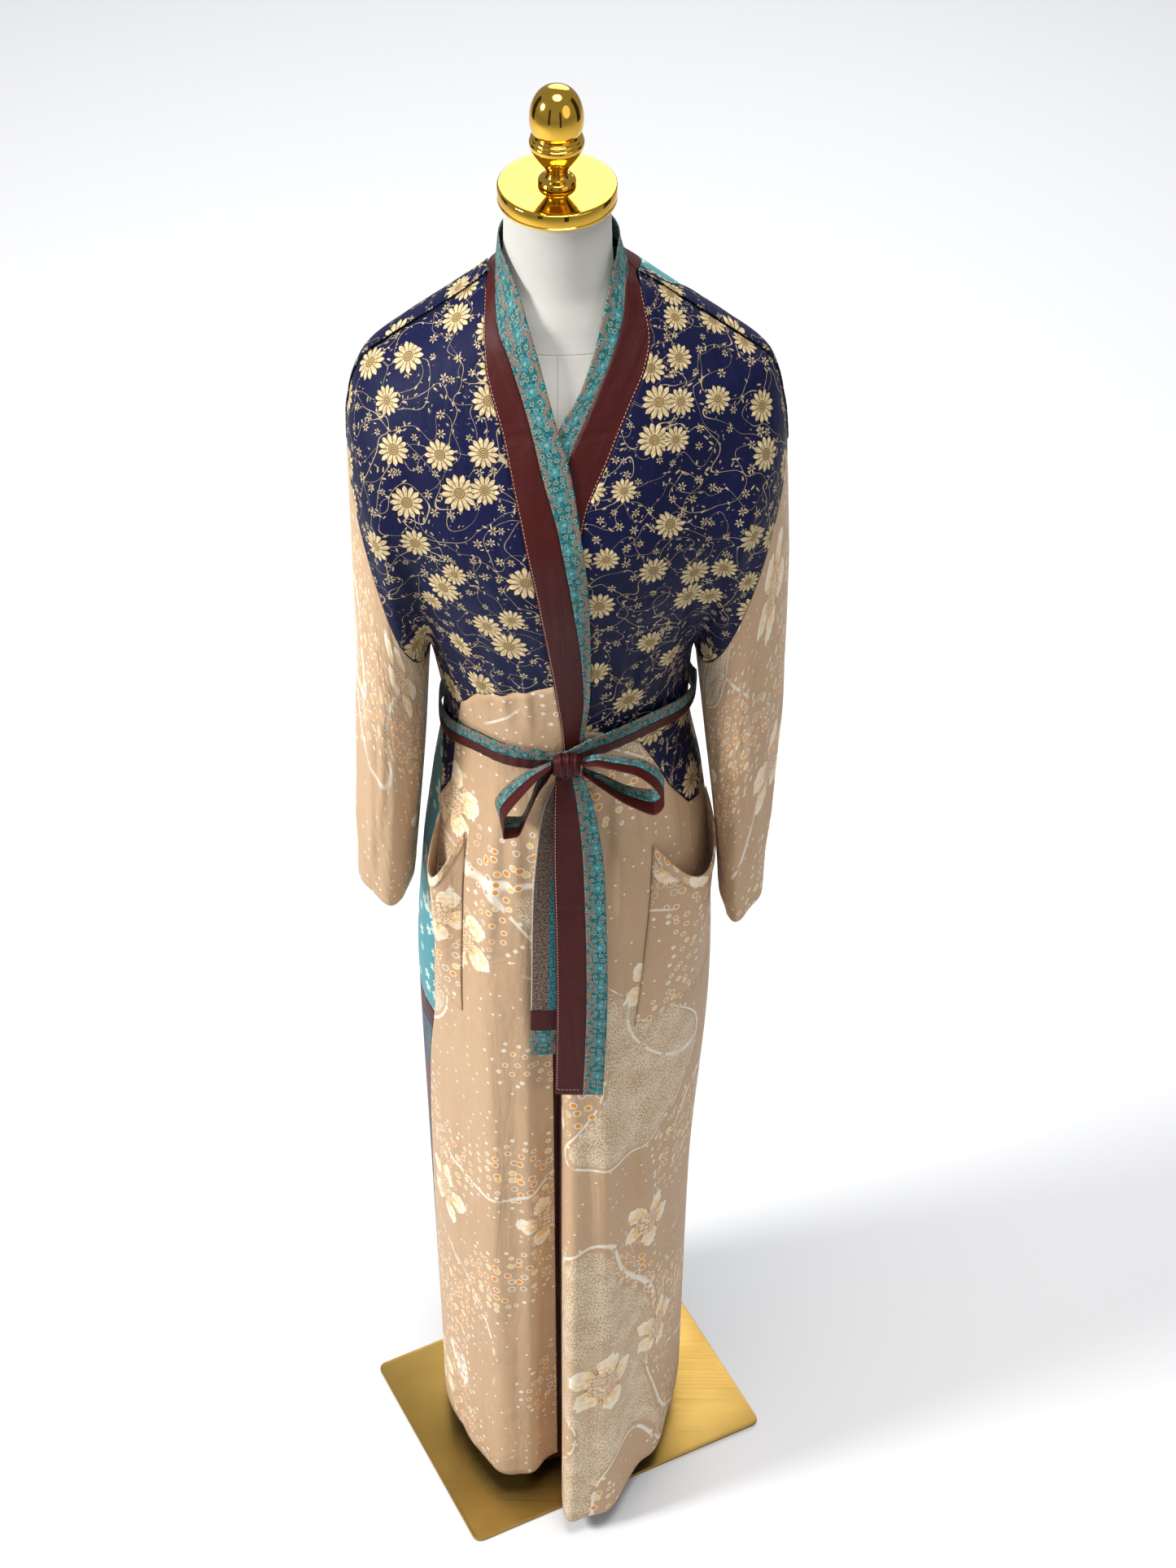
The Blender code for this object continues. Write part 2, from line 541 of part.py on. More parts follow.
def ridge(sign, start_z, count):
    """Places along the shoulder ridge and down the outer edge, to the armhole's top."""
    z = np.linspace(start_z, ARMHOLE_TOP_Z, 60)
    return path(np.stack((outline(z, sign), z), -1), count)


def front(layer):
    """The surface of one front, held half a gap clear of the back."""
    return lambda x, z: robe(x, z, layer) - np.array((0.0, GAP / 2, 0.0))


def back(x, z):
    """The surface of the back, held half a gap clear of the fronts."""
    return robe(x, z, "back") + np.array((0.0, GAP / 2, 0.0))


def side_x(side, z):
    """The side seam's place at some heights."""
    return column(BODY, side, z) * np.sin(np.radians(column(SIDE_SEAM, side, z)))


def band_stations(side):
    """The band's three edges, down to the belt, with a row of the yoke at each station."""
    band, seam = (BAND_RIGHT, YOKE_SEAM_RIGHT) if side == "right" else (BAND_LEFT, YOKE_SEAM_LEFT)
    knots = np.linspace(0, 1, len(band["outer_z"]))
    fine = np.linspace(0, 1, 400)
    height = smooth(fine, knots, band["outer_z"])
    step = np.hypot(np.diff(height), np.diff(smooth(fine, knots, band["outer_x"])))
    run = np.concatenate(((0.0,), np.cumsum(step)))
    foot = np.interp(-seam["z"][0], -height, run)
    rows = len(ARMHOLE_TURNS) + len(WAIST_ROWS) + 2
    stops = np.concatenate((np.linspace(0, foot, rows), np.linspace(foot, run[-1], 4)[1:]))
    share = np.interp(stops, run, fine)
    edges = {name: smooth(share, knots, values) for name, values in band.items()}
    for edge in ("inner", "seam", "outer"):
        edges[edge + "_x"][0] = outline(edges[edge + "_z"][0], 1.0 if side == "left" else -1.0)
    edges["outer_x"][0] -= GAP if side == "left" else -GAP
    return edges, rows


def beside(line, gap):
    """A line of places moved sideways by a gap, to the left of its own direction."""
    along = np.gradient(line, axis=0)
    along /= np.linalg.norm(along, axis=1, keepdims=True)
    return line + gap * np.stack((-along[:, 1], along[:, 0]), -1)


def yoke_foot(side, sign):
    """The seam between a yoke and its skirt, as shared places."""
    seam = YOKE_SEAM_RIGHT if side == "right" else YOKE_SEAM_LEFT
    edges, rows = band_stations(side)
    line = np.stack((seam["x"], seam["z"]), -1)
    line[0] = edges["outer_x"][rows - 1] + sign * GAP, edges["outer_z"][rows - 1]
    line[-1] = side_x(side, YOKE_FOOT[side]), YOKE_FOOT[side]
    return path(line, YOKE_COLUMNS)


def yokes():
    """The two navy fronts, from the shoulder ridge to the seam with the skirt."""
    for side, sign, layer in (("right", -1, "over"), ("left", 1, "under")):
        edges, rows = band_stations(side)
        top = ridge(sign, edges["outer_z"][0] - 2 * GAP, YOKE_COLUMNS)
        inner = beside(np.stack((edges["outer_x"][:rows], edges["outer_z"][:rows]), -1), sign * GAP)
        inner[0] = top[0]
        side_z = np.array(WAIST_ROWS + (0.990, YOKE_FOOT[side]))
        outer = np.vstack((armhole(sign, ARMHOLE_TURNS), np.stack((side_x(side, side_z), side_z), -1)))
        places = patch(top, yoke_foot(side, sign), inner, outer)
        cloth("yoke_" + side, "navy", front(layer), places[..., 0], places[..., 1])


def skirt_rows(side, hem):
    """A skirt front's row heights, at its free edge and at its side seam."""
    end = np.array((YOKE_FOOT[side] - GAP,) + SKIRT_ROWS)
    start_top = band_stations(side)[0]["outer_z"][band_stations(side)[1] - 1] - GAP
    start = hem + (end - HEM_Z_SIDE) * (start_top - hem) / (end[0] - HEM_Z_SIDE)
    return start, end


def skirts():
    """The two beige fronts below the yokes, down to the hem."""
    for side, sign, hem, layer in (("right", -1, HEM_Z_RIGHT, "over"), ("left", 1, HEM_Z_LEFT, "under")):
        start_z, end_z = skirt_rows(side, hem)
        top = beside(yoke_foot(side, sign), -sign * GAP * np.linspace(1, 3, YOKE_COLUMNS)[:, None])
        start = np.stack((skirt_start(side, start_z), start_z), -1)
        end = np.stack((side_x(side, end_z), end_z), -1)
        start[0], end[0] = top[0], top[-1]
        spread = np.sin(np.linspace(0, 1, YOKE_COLUMNS) * math.pi / 2)
        fine = np.linspace(0, YOKE_COLUMNS - 1, SKIRT_COLUMNS)
        bottom_x = start[-1, 0] + (end[-1, 0] - start[-1, 0]) * spread
        bottom = np.stack((bottom_x, np.interp(spread, (0, 1), (start[-1, 1], end[-1, 1]))), -1)
        bottom = np.stack([np.interp(fine, np.arange(YOKE_COLUMNS), bottom[:, i]) for i in (0, 1)], -1)
        top = np.stack([np.interp(fine, np.arange(YOKE_COLUMNS), top[:, i]) for i in (0, 1)], -1)
        places = patch(top, bottom, start, end)
        cloth("skirt_" + side, "beige", front(layer), places[..., 0], places[..., 1])


def skirt_start(side, z):
    """Where a skirt front begins: beside the band above the belt, at its fold or band below it."""
    edges = band_stations(side)[0]
    above = np.interp(-z, -edges["outer_z"], edges["outer_x"])
    if side == "right":
        return np.where(z > edges["outer_z"][-1] - 0.005, above, column(SKIRT_EDGE, "right", z)) - GAP
    return np.where(z > 1.04, above, band_edges(z)[2]) + 2 * GAP


def band_edges(z):
    """The left front's band below the belt: its free edge, its seam and its outer edge, in x."""
    free = column(SKIRT_EDGE, "left", z)
    seam, outer = np.empty_like(z), np.empty_like(z)
    spread = ease((BELT_Z - z) / BAND_SPREAD_HEIGHT)
    for i, height in enumerate(z):
        x = np.linspace(free[i], free[i] + 0.10, 400)
        line = robe(x, np.full_like(x, height), "under")
        run = np.concatenate(((0.0,), np.cumsum(np.linalg.norm(np.diff(line, axis=0), axis=1))))
        turquoise = BAND_AT_BELT["turquoise"] * (1 - spread[i]) + BAND_TURQUOISE * spread[i]
        maroon = BAND_AT_BELT["maroon"] * (1 - spread[i]) + BAND_MAROON * spread[i]
        seam[i] = np.interp(turquoise, run, x)
        outer[i] = np.interp(turquoise + maroon, run, x)
    return free, seam, outer


def bands():
    """The collar band's turquoise and maroon strips, down the fronts and behind the neck."""
    for side, hem, layer in (("right", None, "over"), ("left", HEM_Z_LEFT, "under")):
        sign = 1.0 if side == "left" else -1.0
        edges = band_stations(side)[0]
        if hem:
            low = skirt_rows(side, hem)[0]
            low = low[low < 1.035]
            for edge, x in zip(("inner", "seam", "outer"), band_edges(low)):
                edges[edge + "_x"] = np.append(edges[edge + "_x"], x)
                edges[edge + "_z"] = np.append(edges[edge + "_z"], low)
        for colour, near, far in (("turquoise", "inner", "seam"), ("maroon", "seam", "outer")):
            share = np.linspace(0, 1, 3)
            far_x = edges[far + "_x"] - sign * (GAP if far == "seam" else 0.0)
            x = edges[near + "_x"][:, None] * (1 - share) + far_x[:, None] * share
            z = edges[near + "_z"][:, None] * (1 - share) + edges[far + "_z"][:, None] * share
            cloth("band_%s_%s" % (colour, side), colour, front(layer), x, z)
    for colour, near, far in (("turquoise", "inner_z", "seam_z"), ("maroon", "seam_z", "outer_z")):
        share = np.linspace(0, 1, 3)
        top = neck_height(NECK_TURNS, near)[:, None]
        low = neck_height(NECK_TURNS, far)[:, None] + 2 * GAP
        z = top * (1 - share) + low * share
        cloth("band_%s_neck" % colour, colour, lambda x, h: back(x, h) + np.array((0.0, GAP, 0.0)),
              neck_x(NECK_TURNS[:, None], z), z)


def neck_height(turns, edge):
    """The height of one of the band's edges behind the neck, from one side to the other."""
    return smooth(90 - np.abs(turns - 90), NECK_BAND["turn"], NECK_BAND[edge])


def neck_x(turns, z):
    """Places round the back of the neck, from the wearer's right to the left."""
    width = np.where(turns > 90, column(BODY, "left", z), column(BODY, "right", z))
    return -width * np.cos(np.radians(turns))


def turned_edge():
    """The right front's band below the belt, turned under along the fold."""
    z = np.array([row for row in skirt_rows("right", HEM_Z_RIGHT)[0] if row < TURNED_TOP_Z])[:, None]
    z[-1] += 0.003
    fold = skirt_start("right", z[:, 0])[:, None] - 0.001
    for colour, near, far in (("maroon", 0.0, BAND_MAROON), ("turquoise", BAND_MAROON + GAP, TURNED_WIDTH)):
        share = np.linspace(near, far, 8 if colour == "maroon" else 5)
        spread = 0.45 + 0.30 * ease((BELT_Z - z) / 0.25)
        x = fold - share * spread
        cloth("edge_%s_right" % colour, colour, front("over"), x, z + 0 * x, lift=-TURNED_UNDER)


def backs():
    """The back's five pieces, from the shoulder ridge to the hem."""
    neck_z = neck_height(NECK_TURNS, "outer_z")
    neck = np.stack((neck_x(NECK_TURNS, neck_z), neck_z), -1)
    right = ridge(-1, neck_z[0], RIDGE_COLUMNS)[::-1]
    left = ridge(1, neck_z[-1], RIDGE_COLUMNS)
    top = np.vstack((right, neck[1:-1], left))
    turns = ARMHOLE_TURNS[ARMHOLE_TURNS <= BACK_YOKE_TURN]
    start, end = armhole(-1, turns), armhole(1, turns)
    bottom = path((start[-1], end[-1]), len(top))
    places = patch(top, bottom, start, end)
    cloth("back_yoke", "turquoise", back, places[..., 0], places[..., 1])
    turns = ARMHOLE_TURNS[ARMHOLE_TURNS >= BACK_YOKE_TURN]
    low = np.array(WAIST_ROWS)
    start, end = armhole(-1, turns), armhole(1, turns)
    start[0, 1] = end[0, 1] = start[0, 1] - 2 * GAP
    start = np.vstack((start, np.stack((side_x("right", low), low), -1)))
    end = np.vstack((end, np.stack((side_x("left", low), low), -1)))
    bottom[:, 1] -= 2 * GAP
    across = np.sin(np.linspace(-1, 1, len(top)) * math.pi / 2)
    foot_x = (start[-1, 0] + end[-1, 0]) / 2 + across * (end[-1, 0] - start[-1, 0]) / 2
    places = patch(bottom, np.stack((foot_x, foot_x * 0 + low[-1]), -1), start, end)
    cloth("back_waist", "red", back, places[..., 0], places[..., 1])
    rows = np.array((low[-1],) + BACK_ROWS)
    for name, colour, high, foot in (("back_skirt", "turquoise", low[-1], BORDER_Z[0]),
                                     ("back_border", "maroon", *BORDER_Z),
                                     ("back_hem", "teal", BORDER_Z[1], HEM_Z_SIDE)):
        z = rows[(rows <= high) & (rows >= foot)][:, None].copy()
        first = np.degrees(np.arcsin(np.clip(side_x("right", z) / column(BODY, "right", z), -1, 1)))
        first += BACK_TURN - 270
        turn = first - (first + BACK_TURN) * np.linspace(0, 1, BACK_COLUMNS)
        z[0] -= GAP
        cloth(name, colour, lambda t, h: ring(t * 100, h, "back"), turn / 100, z + 0 * turn)


def sleeves():
    """The two sleeves, open tubes from the armhole seam to the cuff."""
    turn = SLEEVE_TURNS
    for side, cuff in CUFF_Z.items():
        rise = ((1 + np.cos(np.radians(turn))) / 2) ** ARMHOLE_CURVE
        top = UNDERARM_Z - SLEEVE_TOP_GAP + (ARMHOLE_TOP_Z - UNDERARM_Z) * rise
        low = cuff + CUFF_RISE[0] * np.cos(np.radians(turn)) - CUFF_RISE[1] * np.sin(np.radians(turn))
        fall = np.linspace(0, 1, 10)[:, None]
        z = top * (1 - fall) + low * fall
        cloth("sleeve_" + side, "beige", lambda t, h: sleeve(t * 100, h, side),
              turn / 100 + 0 * z, z, ring_closed=True)


def pockets():
    """The two patch pockets, whose mouths sag open."""
    for side, layer in (("right", "over"), ("left", "under")):
        rows, columns = POCKET_GRID
        pocket = POCKETS[side]
        share = np.linspace(0, 1, columns)
        drop = np.linspace(0, 1, rows)[:, None]
        middle = np.sin(share * math.pi)
        top = pocket["z"][0] - POCKET_SAG[side] * middle
        z = top * (1 - drop) + pocket["z"][-1] * drop
        turn = column(pocket, "front", z) * (1 - share) + column(pocket, "side", z) * share
        bulge = POCKET_BULGE[side] * middle * (1 - drop) ** 0.7 * np.where(drop < 0.98, 1.0, 0.0)
        cloth("pocket_" + side, "beige", lambda t, h: ring(t * 100, h, layer) - np.array((0, GAP / 2, 0)),
              turn / 100, z, lift=CLOTH + GAP + bulge)


def belt():
    """The belt round the waist: a turquoise strip over a maroon one."""
    turn = np.linspace(-180, 180, BELT_COLUMNS + 1)[:-1]
    rise = smooth(turn, BELT_RISE["turn"], BELT_RISE["z"])
    for colour, low, high in (("turquoise", GAP, BELT_HEIGHT / 2), ("maroon", -BELT_HEIGHT / 2, -GAP)):
        share = np.linspace(high, low, 2)[:, None]
        pinch = 1 - BELT_PINCH * np.exp(-(turn / BELT_PINCH_WIDTH) ** 2)
        z = rise + share * pinch
        cloth("belt_" + colour, colour, lambda t, h: ring(t * 100, h, "over"),
              turn / 100 + 0 * z, z, lift=BELT_LIFT, ring_closed=True)


def knot_middle():
    """The middle of the bow's knot, seated on the belt."""
    z = float(smooth(np.array(0.0), BELT_RISE["turn"], BELT_RISE["z"]))
    seat = robe(np.array(KNOT_X), np.array(z), "over")
    out = BELT_LIFT + KNOT_LIFT + CLOTH / 2 + GAP + KNOT_SIZE[1] / 2
    return np.array((KNOT_X, seat[1] - out, z))


def ribbon(name, colour, places, side_low, side_high, first=0.0, last=1.0, rows=13):
    """A stretch of belt ribbon between two shares of its width."""
    middle = knot_middle()
    stations = np.linspace(0, 1, len(places["x"]))

    def surface(t, w):
        centre = np.stack([smooth(t, stations, places[axis]) for axis in "xyz"], -1) + middle
        across = np.stack([smooth(t, stations, places["across_" + axis]) for axis in "xyz"], -1)
        across /= np.linalg.norm(across, axis=-1, keepdims=True)
        return centre + across * (w * smooth(t, stations, places["width"]))[..., None]

    t = np.linspace(first, last, rows)[:, None]
    w = np.linspace(side_low, side_high, 3)
    cloth(name, colour, surface, t + 0 * w, w + 0 * t)


def bow():
    """The knot, the two loops and the two tails."""
    bpy.ops.mesh.primitive_cube_add(size=1.0, location=knot_middle())
    knot = bpy.context.object
    knot.name = "belt_knot"
    knot.scale = KNOT_SIZE
    bpy.ops.object.transform_apply(location=False, rotation=False, scale=True)
    knot.data.materials.append(material("maroon"))
    round_off = knot.modifiers.new("Rounded edges", "BEVEL")
    round_off.width = KNOT_ROUND
    round_off.segments = 3
    for collection in list(knot.users_collection):
        collection.objects.unlink(knot)
    ROBE.objects.link(knot)
    for side, places in (("left", LOOP_LEFT), ("right", LOOP_RIGHT)):
        ribbon("loop_maroon_" + side, "maroon", places, LOOP_SEAM, 0.5, rows=19)
        ribbon("loop_turquoise_" + side, "turquoise", places, -0.5, -LOOP_SEAM, rows=19)
    ribbon("tail_front_maroon", "maroon", TAIL_FRONT, -0.5, TAIL_SEAM[0])
    ribbon("tail_front_turquoise", "turquoise", TAIL_FRONT, TAIL_SEAM[1], 0.5)
    upper, lower = TAIL_BLOCK
    ribbon("tail_rear_top", "turquoise", TAIL_REAR, -0.5, 0.5, 0.0, upper[0], 10)
    ribbon("tail_rear_block", "maroon", TAIL_REAR, -0.5, 0.5, upper[1], lower[0], 3)
    ribbon("tail_rear_tip", "turquoise", TAIL_REAR, -0.5, 0.5, lower[1], 1.0, 3)


def dress_form():
    """The limbless form: one smooth closed body from the neck to the hips."""
    turn = np.radians(np.arange(0, 360, 18.0))
    body = bmesh.new()
    rings = []
    for height in FORM_HEIGHTS:
        at = np.array(height)
        wide, side_y = float(column(FORM, "width", at)), float(column(FORM, "side_y", at))
        front_deep, back_deep = float(column(FORM, "front", at)), float(column(FORM, "back", at))
        rings.append([body.verts.new((wide * math.sin(a),
                                      side_y - math.cos(a) * (front_deep if math.cos(a) > 0 else back_deep),
                                      height)) for a in turn])
    for upper, lower in zip(rings, rings[1:]):
        for i in range(len(turn)):
            n = (i + 1) % len(turn)
            body.faces.new((upper[i], lower[i], lower[n], upper[n]))
    body.faces.new(rings[0])
    body.faces.new(rings[-1][::-1])
    bmesh.ops.recalc_face_normals(body, faces=body.faces)
    finish("dress_form", "linen", body)


def turned(name, colour, profile, steps):
    """A turned piece on the neck's axis."""
    body = bmesh.new()
    line = [body.verts.new((r, 0.0, z)) for r, z in zip(profile["radius"], profile["z"])]
    for one, two in zip(line, line[1:]):
        body.edges.new((one, two))
    made = finish(name, colour, body)
    made.location = (0.0, NECK_Y, 0.0)
    screw = made.modifiers.new("Turned", "SCREW")
    screw.steps = screw.render_steps = steps
    screw.use_merge_vertices = True
    screw.merge_threshold = 0.0001
    screw.use_smooth_shade = True


def stand():
    """The neck cap, its finial, the pole under the form and the base plate."""
    turned("neck_cap", "gold", CAP, 32)
    turned("finial", "gold", FINIAL, 16)
    low, high = PLATE_SIZE[2] + GAP, FORM_BOTTOM_Z - GAP
    bpy.ops.mesh.primitive_cylinder_add(vertices=24, radius=POLE_RADIUS, depth=high - low,
                                        location=(0.0, POLE_Y, (low + high) / 2))
    pole = bpy.context.object
    pole.name = "pole"
    pole.data.materials.append(material("bronze"))
    bpy.ops.mesh.primitive_cube_add(size=1.0, location=(0.0, 0.0, PLATE_SIZE[2] / 2),
                                    rotation=(0.0, 0.0, PLATE_TURN))
    plate = bpy.context.object
    plate.name = "base_plate"
    plate.scale = PLATE_SIZE
    bpy.ops.object.transform_apply(location=False, rotation=False, scale=True)
    body = bmesh.new()
    body.from_mesh(plate.data)
    corners = [edge for edge in body.edges if abs(edge.verts[0].co.z - edge.verts[1].co.z) > 0.001]
    bmesh.ops.bevel(body, geom=corners, offset=PLATE_CORNER, segments=5, profile=0.5, affect="EDGES")
    body.to_mesh(plate.data)
    body.free()
    plate.data.materials.append(material("bronze"))
    for made in (pole, plate):
        for collection in list(made.users_collection):
            collection.objects.unlink(made)
        ROBE.objects.link(made)


yokes()
skirts()
bands()
turned_edge()
backs()
sleeves()
pockets()
belt()
bow()
dress_form()
stand()
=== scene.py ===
"""A patchwork wrap robe, belted, on a limbless dress form with a gold neck cap and a base plate.

Metres, +Z up. The robe's front faces -Y, and the wearer's right is at -X.
"""
import json
import math

import bpy
import numpy as np
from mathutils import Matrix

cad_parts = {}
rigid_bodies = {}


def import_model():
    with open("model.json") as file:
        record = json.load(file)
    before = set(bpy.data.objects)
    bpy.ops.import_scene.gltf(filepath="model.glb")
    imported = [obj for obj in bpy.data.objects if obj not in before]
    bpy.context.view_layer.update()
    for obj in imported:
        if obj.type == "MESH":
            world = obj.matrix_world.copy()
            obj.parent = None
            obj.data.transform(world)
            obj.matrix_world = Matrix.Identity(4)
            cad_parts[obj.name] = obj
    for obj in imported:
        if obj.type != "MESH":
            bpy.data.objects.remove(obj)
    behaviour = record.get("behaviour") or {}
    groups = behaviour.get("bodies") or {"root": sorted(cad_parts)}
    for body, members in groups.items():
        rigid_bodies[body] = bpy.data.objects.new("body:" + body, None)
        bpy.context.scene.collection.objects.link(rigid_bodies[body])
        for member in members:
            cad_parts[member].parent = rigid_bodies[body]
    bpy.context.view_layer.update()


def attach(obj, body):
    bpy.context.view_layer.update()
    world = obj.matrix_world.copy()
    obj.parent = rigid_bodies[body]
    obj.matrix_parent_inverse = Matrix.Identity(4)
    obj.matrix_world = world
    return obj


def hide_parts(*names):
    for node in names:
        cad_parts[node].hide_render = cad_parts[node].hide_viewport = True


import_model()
for item in list(bpy.context.scene.objects):
    item.select_set(False)


# The base plate is a thin steel sheet with round corners, plated bronze-gold and brushed along its
# length. It lies flat on the floor, turned a little from the robe's front.
PLATE_SIZE = (0.351, 0.263, 0.004)
PLATE_TURN = math.radians(26.9)
PLATE_CORNER = 0.009
PLATE_EDGE = 0.0005


def new_finish(name, **values):
    """A finish with the values of its shader that are the same all over."""
    made = bpy.data.materials.new(name)
    made.use_nodes = True
    shader = made.node_tree.nodes["Principled BSDF"]
    for socket, value in values.items():
        shader.inputs[socket.replace("_", " ")].default_value = value
    return made, made.node_tree, shader


def node(kind, inputs, tree=None, **settings):
    """A node whose inputs are plain values or other nodes' outputs, in the same tree as those."""
    tree = tree or next(v.id_data for v in inputs.values() if isinstance(v, bpy.types.NodeSocket))
    made = tree.nodes.new(kind)
    for name, value in settings.items():
        setattr(made, name, value)
    for place, value in inputs.items():
        if isinstance(value, bpy.types.NodeSocket):
            tree.links.new(value, made.inputs[place])
        else:
            made.inputs[place].default_value = value
    return made


def maths(operation, *values, clamp=False):
    """One step of arithmetic."""
    return node("ShaderNodeMath", dict(enumerate(values)), operation=operation, use_clamp=clamp).outputs[0]


def vector(operation, *values):
    """One step of arithmetic on a place."""
    inputs = {i: v if isinstance(v, bpy.types.NodeSocket) else tuple(v) for i, v in enumerate(values)}
    return node("ShaderNodeVectorMath", inputs, operation=operation).outputs[0]


def blend(share, below, above):
    """One colour over another."""
    colours = {i: c if isinstance(c, bpy.types.NodeSocket) else (*c, 1.0)
               for i, c in ((6, below), (7, above))}
    return node("ShaderNodeMix", {0: share, **colours}, data_type="RGBA").outputs[2]


def clouds(place, scale, detail=2.0, rough=0.5, bend=0.0):
    """Soft random values between 0 and 1."""
    return node("ShaderNodeTexNoise", {"Vector": place, "Scale": scale, "Detail": detail,
                                       "Roughness": rough, "Distortion": bend}).outputs[0]


def spread(value, low, high, to_low, to_high):
    """A value's range stretched over another one."""
    return node("ShaderNodeMapRange", {0: value, 1: low, 2: high, 3: to_low, 4: to_high}).outputs[0]


def relief(tree, shader, height, strength, distance):
    """Small relief from a height."""
    made = node("ShaderNodeBump", {"Height": height, "Strength": strength, "Distance": distance})
    tree.links.new(made.outputs[0], shader.inputs["Normal"])


def on_object(tree, size=(1.0, 1.0, 1.0), turn=0.0):
    """Places on a piece, stretched and turned about Z."""
    place = node("ShaderNodeTexCoord", {}, tree).outputs["Object"]
    inputs = {"Vector": place, "Rotation": (0.0, 0.0, turn), "Scale": size}
    return node("ShaderNodeMapping", inputs).outputs[0]


def brushed_bronze():
    """Bronze-gold plating, brushed along the plate."""
    made, tree, shader = new_finish("brushed_bronze", Metallic=1.0)
    strokes = clouds(on_object(tree, (6.0, 900.0, 6.0), -PLATE_TURN), 1.0, 4.0, 0.7)
    patches = clouds(on_object(tree), 9.0, 3.0)
    colour = blend(spread(patches, 0.35, 0.7, 0.0, 1.0), (0.30, 0.185, 0.045), (0.43, 0.275, 0.075))
    tree.links.new(colour, shader.inputs["Base Color"])
    tree.links.new(spread(strokes, 0.3, 0.75, 0.28, 0.46), shader.inputs["Roughness"])
    relief(tree, shader, strokes, 0.25, 0.0002)
    return made


def finish_piece(piece, name, finish, slot, *cad_nodes):
    """Names a finished piece, gives it its finish, hangs it on the root body and hides the CAD parts that
    it replaces.
    """
    piece.name = piece.data.name = name
    piece.data.materials.clear()
    piece.data.materials.append(finish)
    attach(piece, "root")
    if cad_nodes:
        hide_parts(*cad_nodes)
    piece.select_set(False)
    return piece


def apply_all(piece):
    """Applies a piece's modifiers as they stand."""
    bpy.context.view_layer.objects.active = piece
    for modifier in list(piece.modifiers):
        bpy.ops.object.modifier_apply(modifier=modifier.name)


BRONZE = brushed_bronze()
bpy.ops.mesh.primitive_cube_add(size=1.0, location=(0.0, 0.0, PLATE_SIZE[2] / 2))
plate = bpy.context.object
plate.scale = PLATE_SIZE
bpy.ops.object.transform_apply(location=True, rotation=False, scale=True)
bpy.ops.object.mode_set(mode="EDIT")
bpy.ops.mesh.select_mode(type="EDGE")
bpy.ops.mesh.select_all(action="DESELECT")
bpy.ops.object.mode_set(mode="OBJECT")
for edge in plate.data.edges:
    low, high = (plate.data.vertices[i].co for i in edge.vertices)
    edge.select = abs(low.z - high.z) > 0.001
bpy.ops.object.mode_set(mode="EDIT")
bpy.ops.mesh.bevel(offset=PLATE_CORNER, segments=14)
bpy.ops.object.mode_set(mode="OBJECT")
plate.rotation_euler = (0.0, 0.0, PLATE_TURN)
bpy.ops.object.transform_apply(location=False, rotation=True, scale=False)
soften = plate.modifiers.new("Soft edge", "BEVEL")
soften.width = PLATE_EDGE
soften.segments = 3
soften.limit_method = "ANGLE"
apply_all(plate)
bpy.ops.object.shade_smooth_by_angle(angle=math.radians(30))
finish_piece(plate, "bronze_base_plate", BRONZE, "brushed_bronze", "base_plate")


# The pole is a steel tube that runs from the plate up into the form, hidden by the skirt. It has
# the plate's finish.
POLE_RADIUS = 0.0125
POLE_Y = 0.033
POLE_Z = (0.0043, 0.7447)


def stack_rings(name, rings, sides, levels, finish, slot, *cad_nodes):
    """A round body raised ring by ring from its lowest one: half width, half depth, middle in Y, height."""
    wide, deep, middle, z = rings[0]
    bpy.ops.mesh.primitive_circle_add(vertices=sides, radius=1.0, fill_type="NGON",
                                      location=(0.0, middle, z))
    body = bpy.context.object
    body.scale = (wide, deep, 1.0)
    bpy.ops.object.transform_apply(location=True, rotation=False, scale=True)
    bpy.ops.object.mode_set(mode="EDIT")
    bpy.ops.mesh.select_all(action="SELECT")
    for (w0, d0, y0, z0), (w1, d1, y1, z1) in zip(rings, rings[1:]):
        bpy.ops.mesh.extrude_region_move(TRANSFORM_OT_translate={"value": (0.0, y1 - y0, z1 - z0)})
        bpy.ops.transform.resize(value=(w1 / w0, d1 / d0, 1.0), center_override=(0.0, y1, z1))
    bpy.ops.mesh.select_all(action="SELECT")
    bpy.ops.mesh.normals_make_consistent(inside=False)
    bpy.ops.object.mode_set(mode="OBJECT")
    if levels:
        rounder = body.modifiers.new("Rounder", "SUBSURF")
        rounder.levels = rounder.render_levels = levels
        apply_all(body)
    bpy.ops.object.shade_smooth_by_angle(angle=math.radians(38))
    return finish_piece(body, name, finish, slot, *cad_nodes)


stack_rings("stand_pole", [(POLE_RADIUS, POLE_RADIUS, POLE_Y, z) for z in
                           (POLE_Z[0], POLE_Z[0] + 0.001, POLE_Z[1] - 0.001, POLE_Z[1])],
            32, 0, BRONZE, "brushed_bronze", "pole")


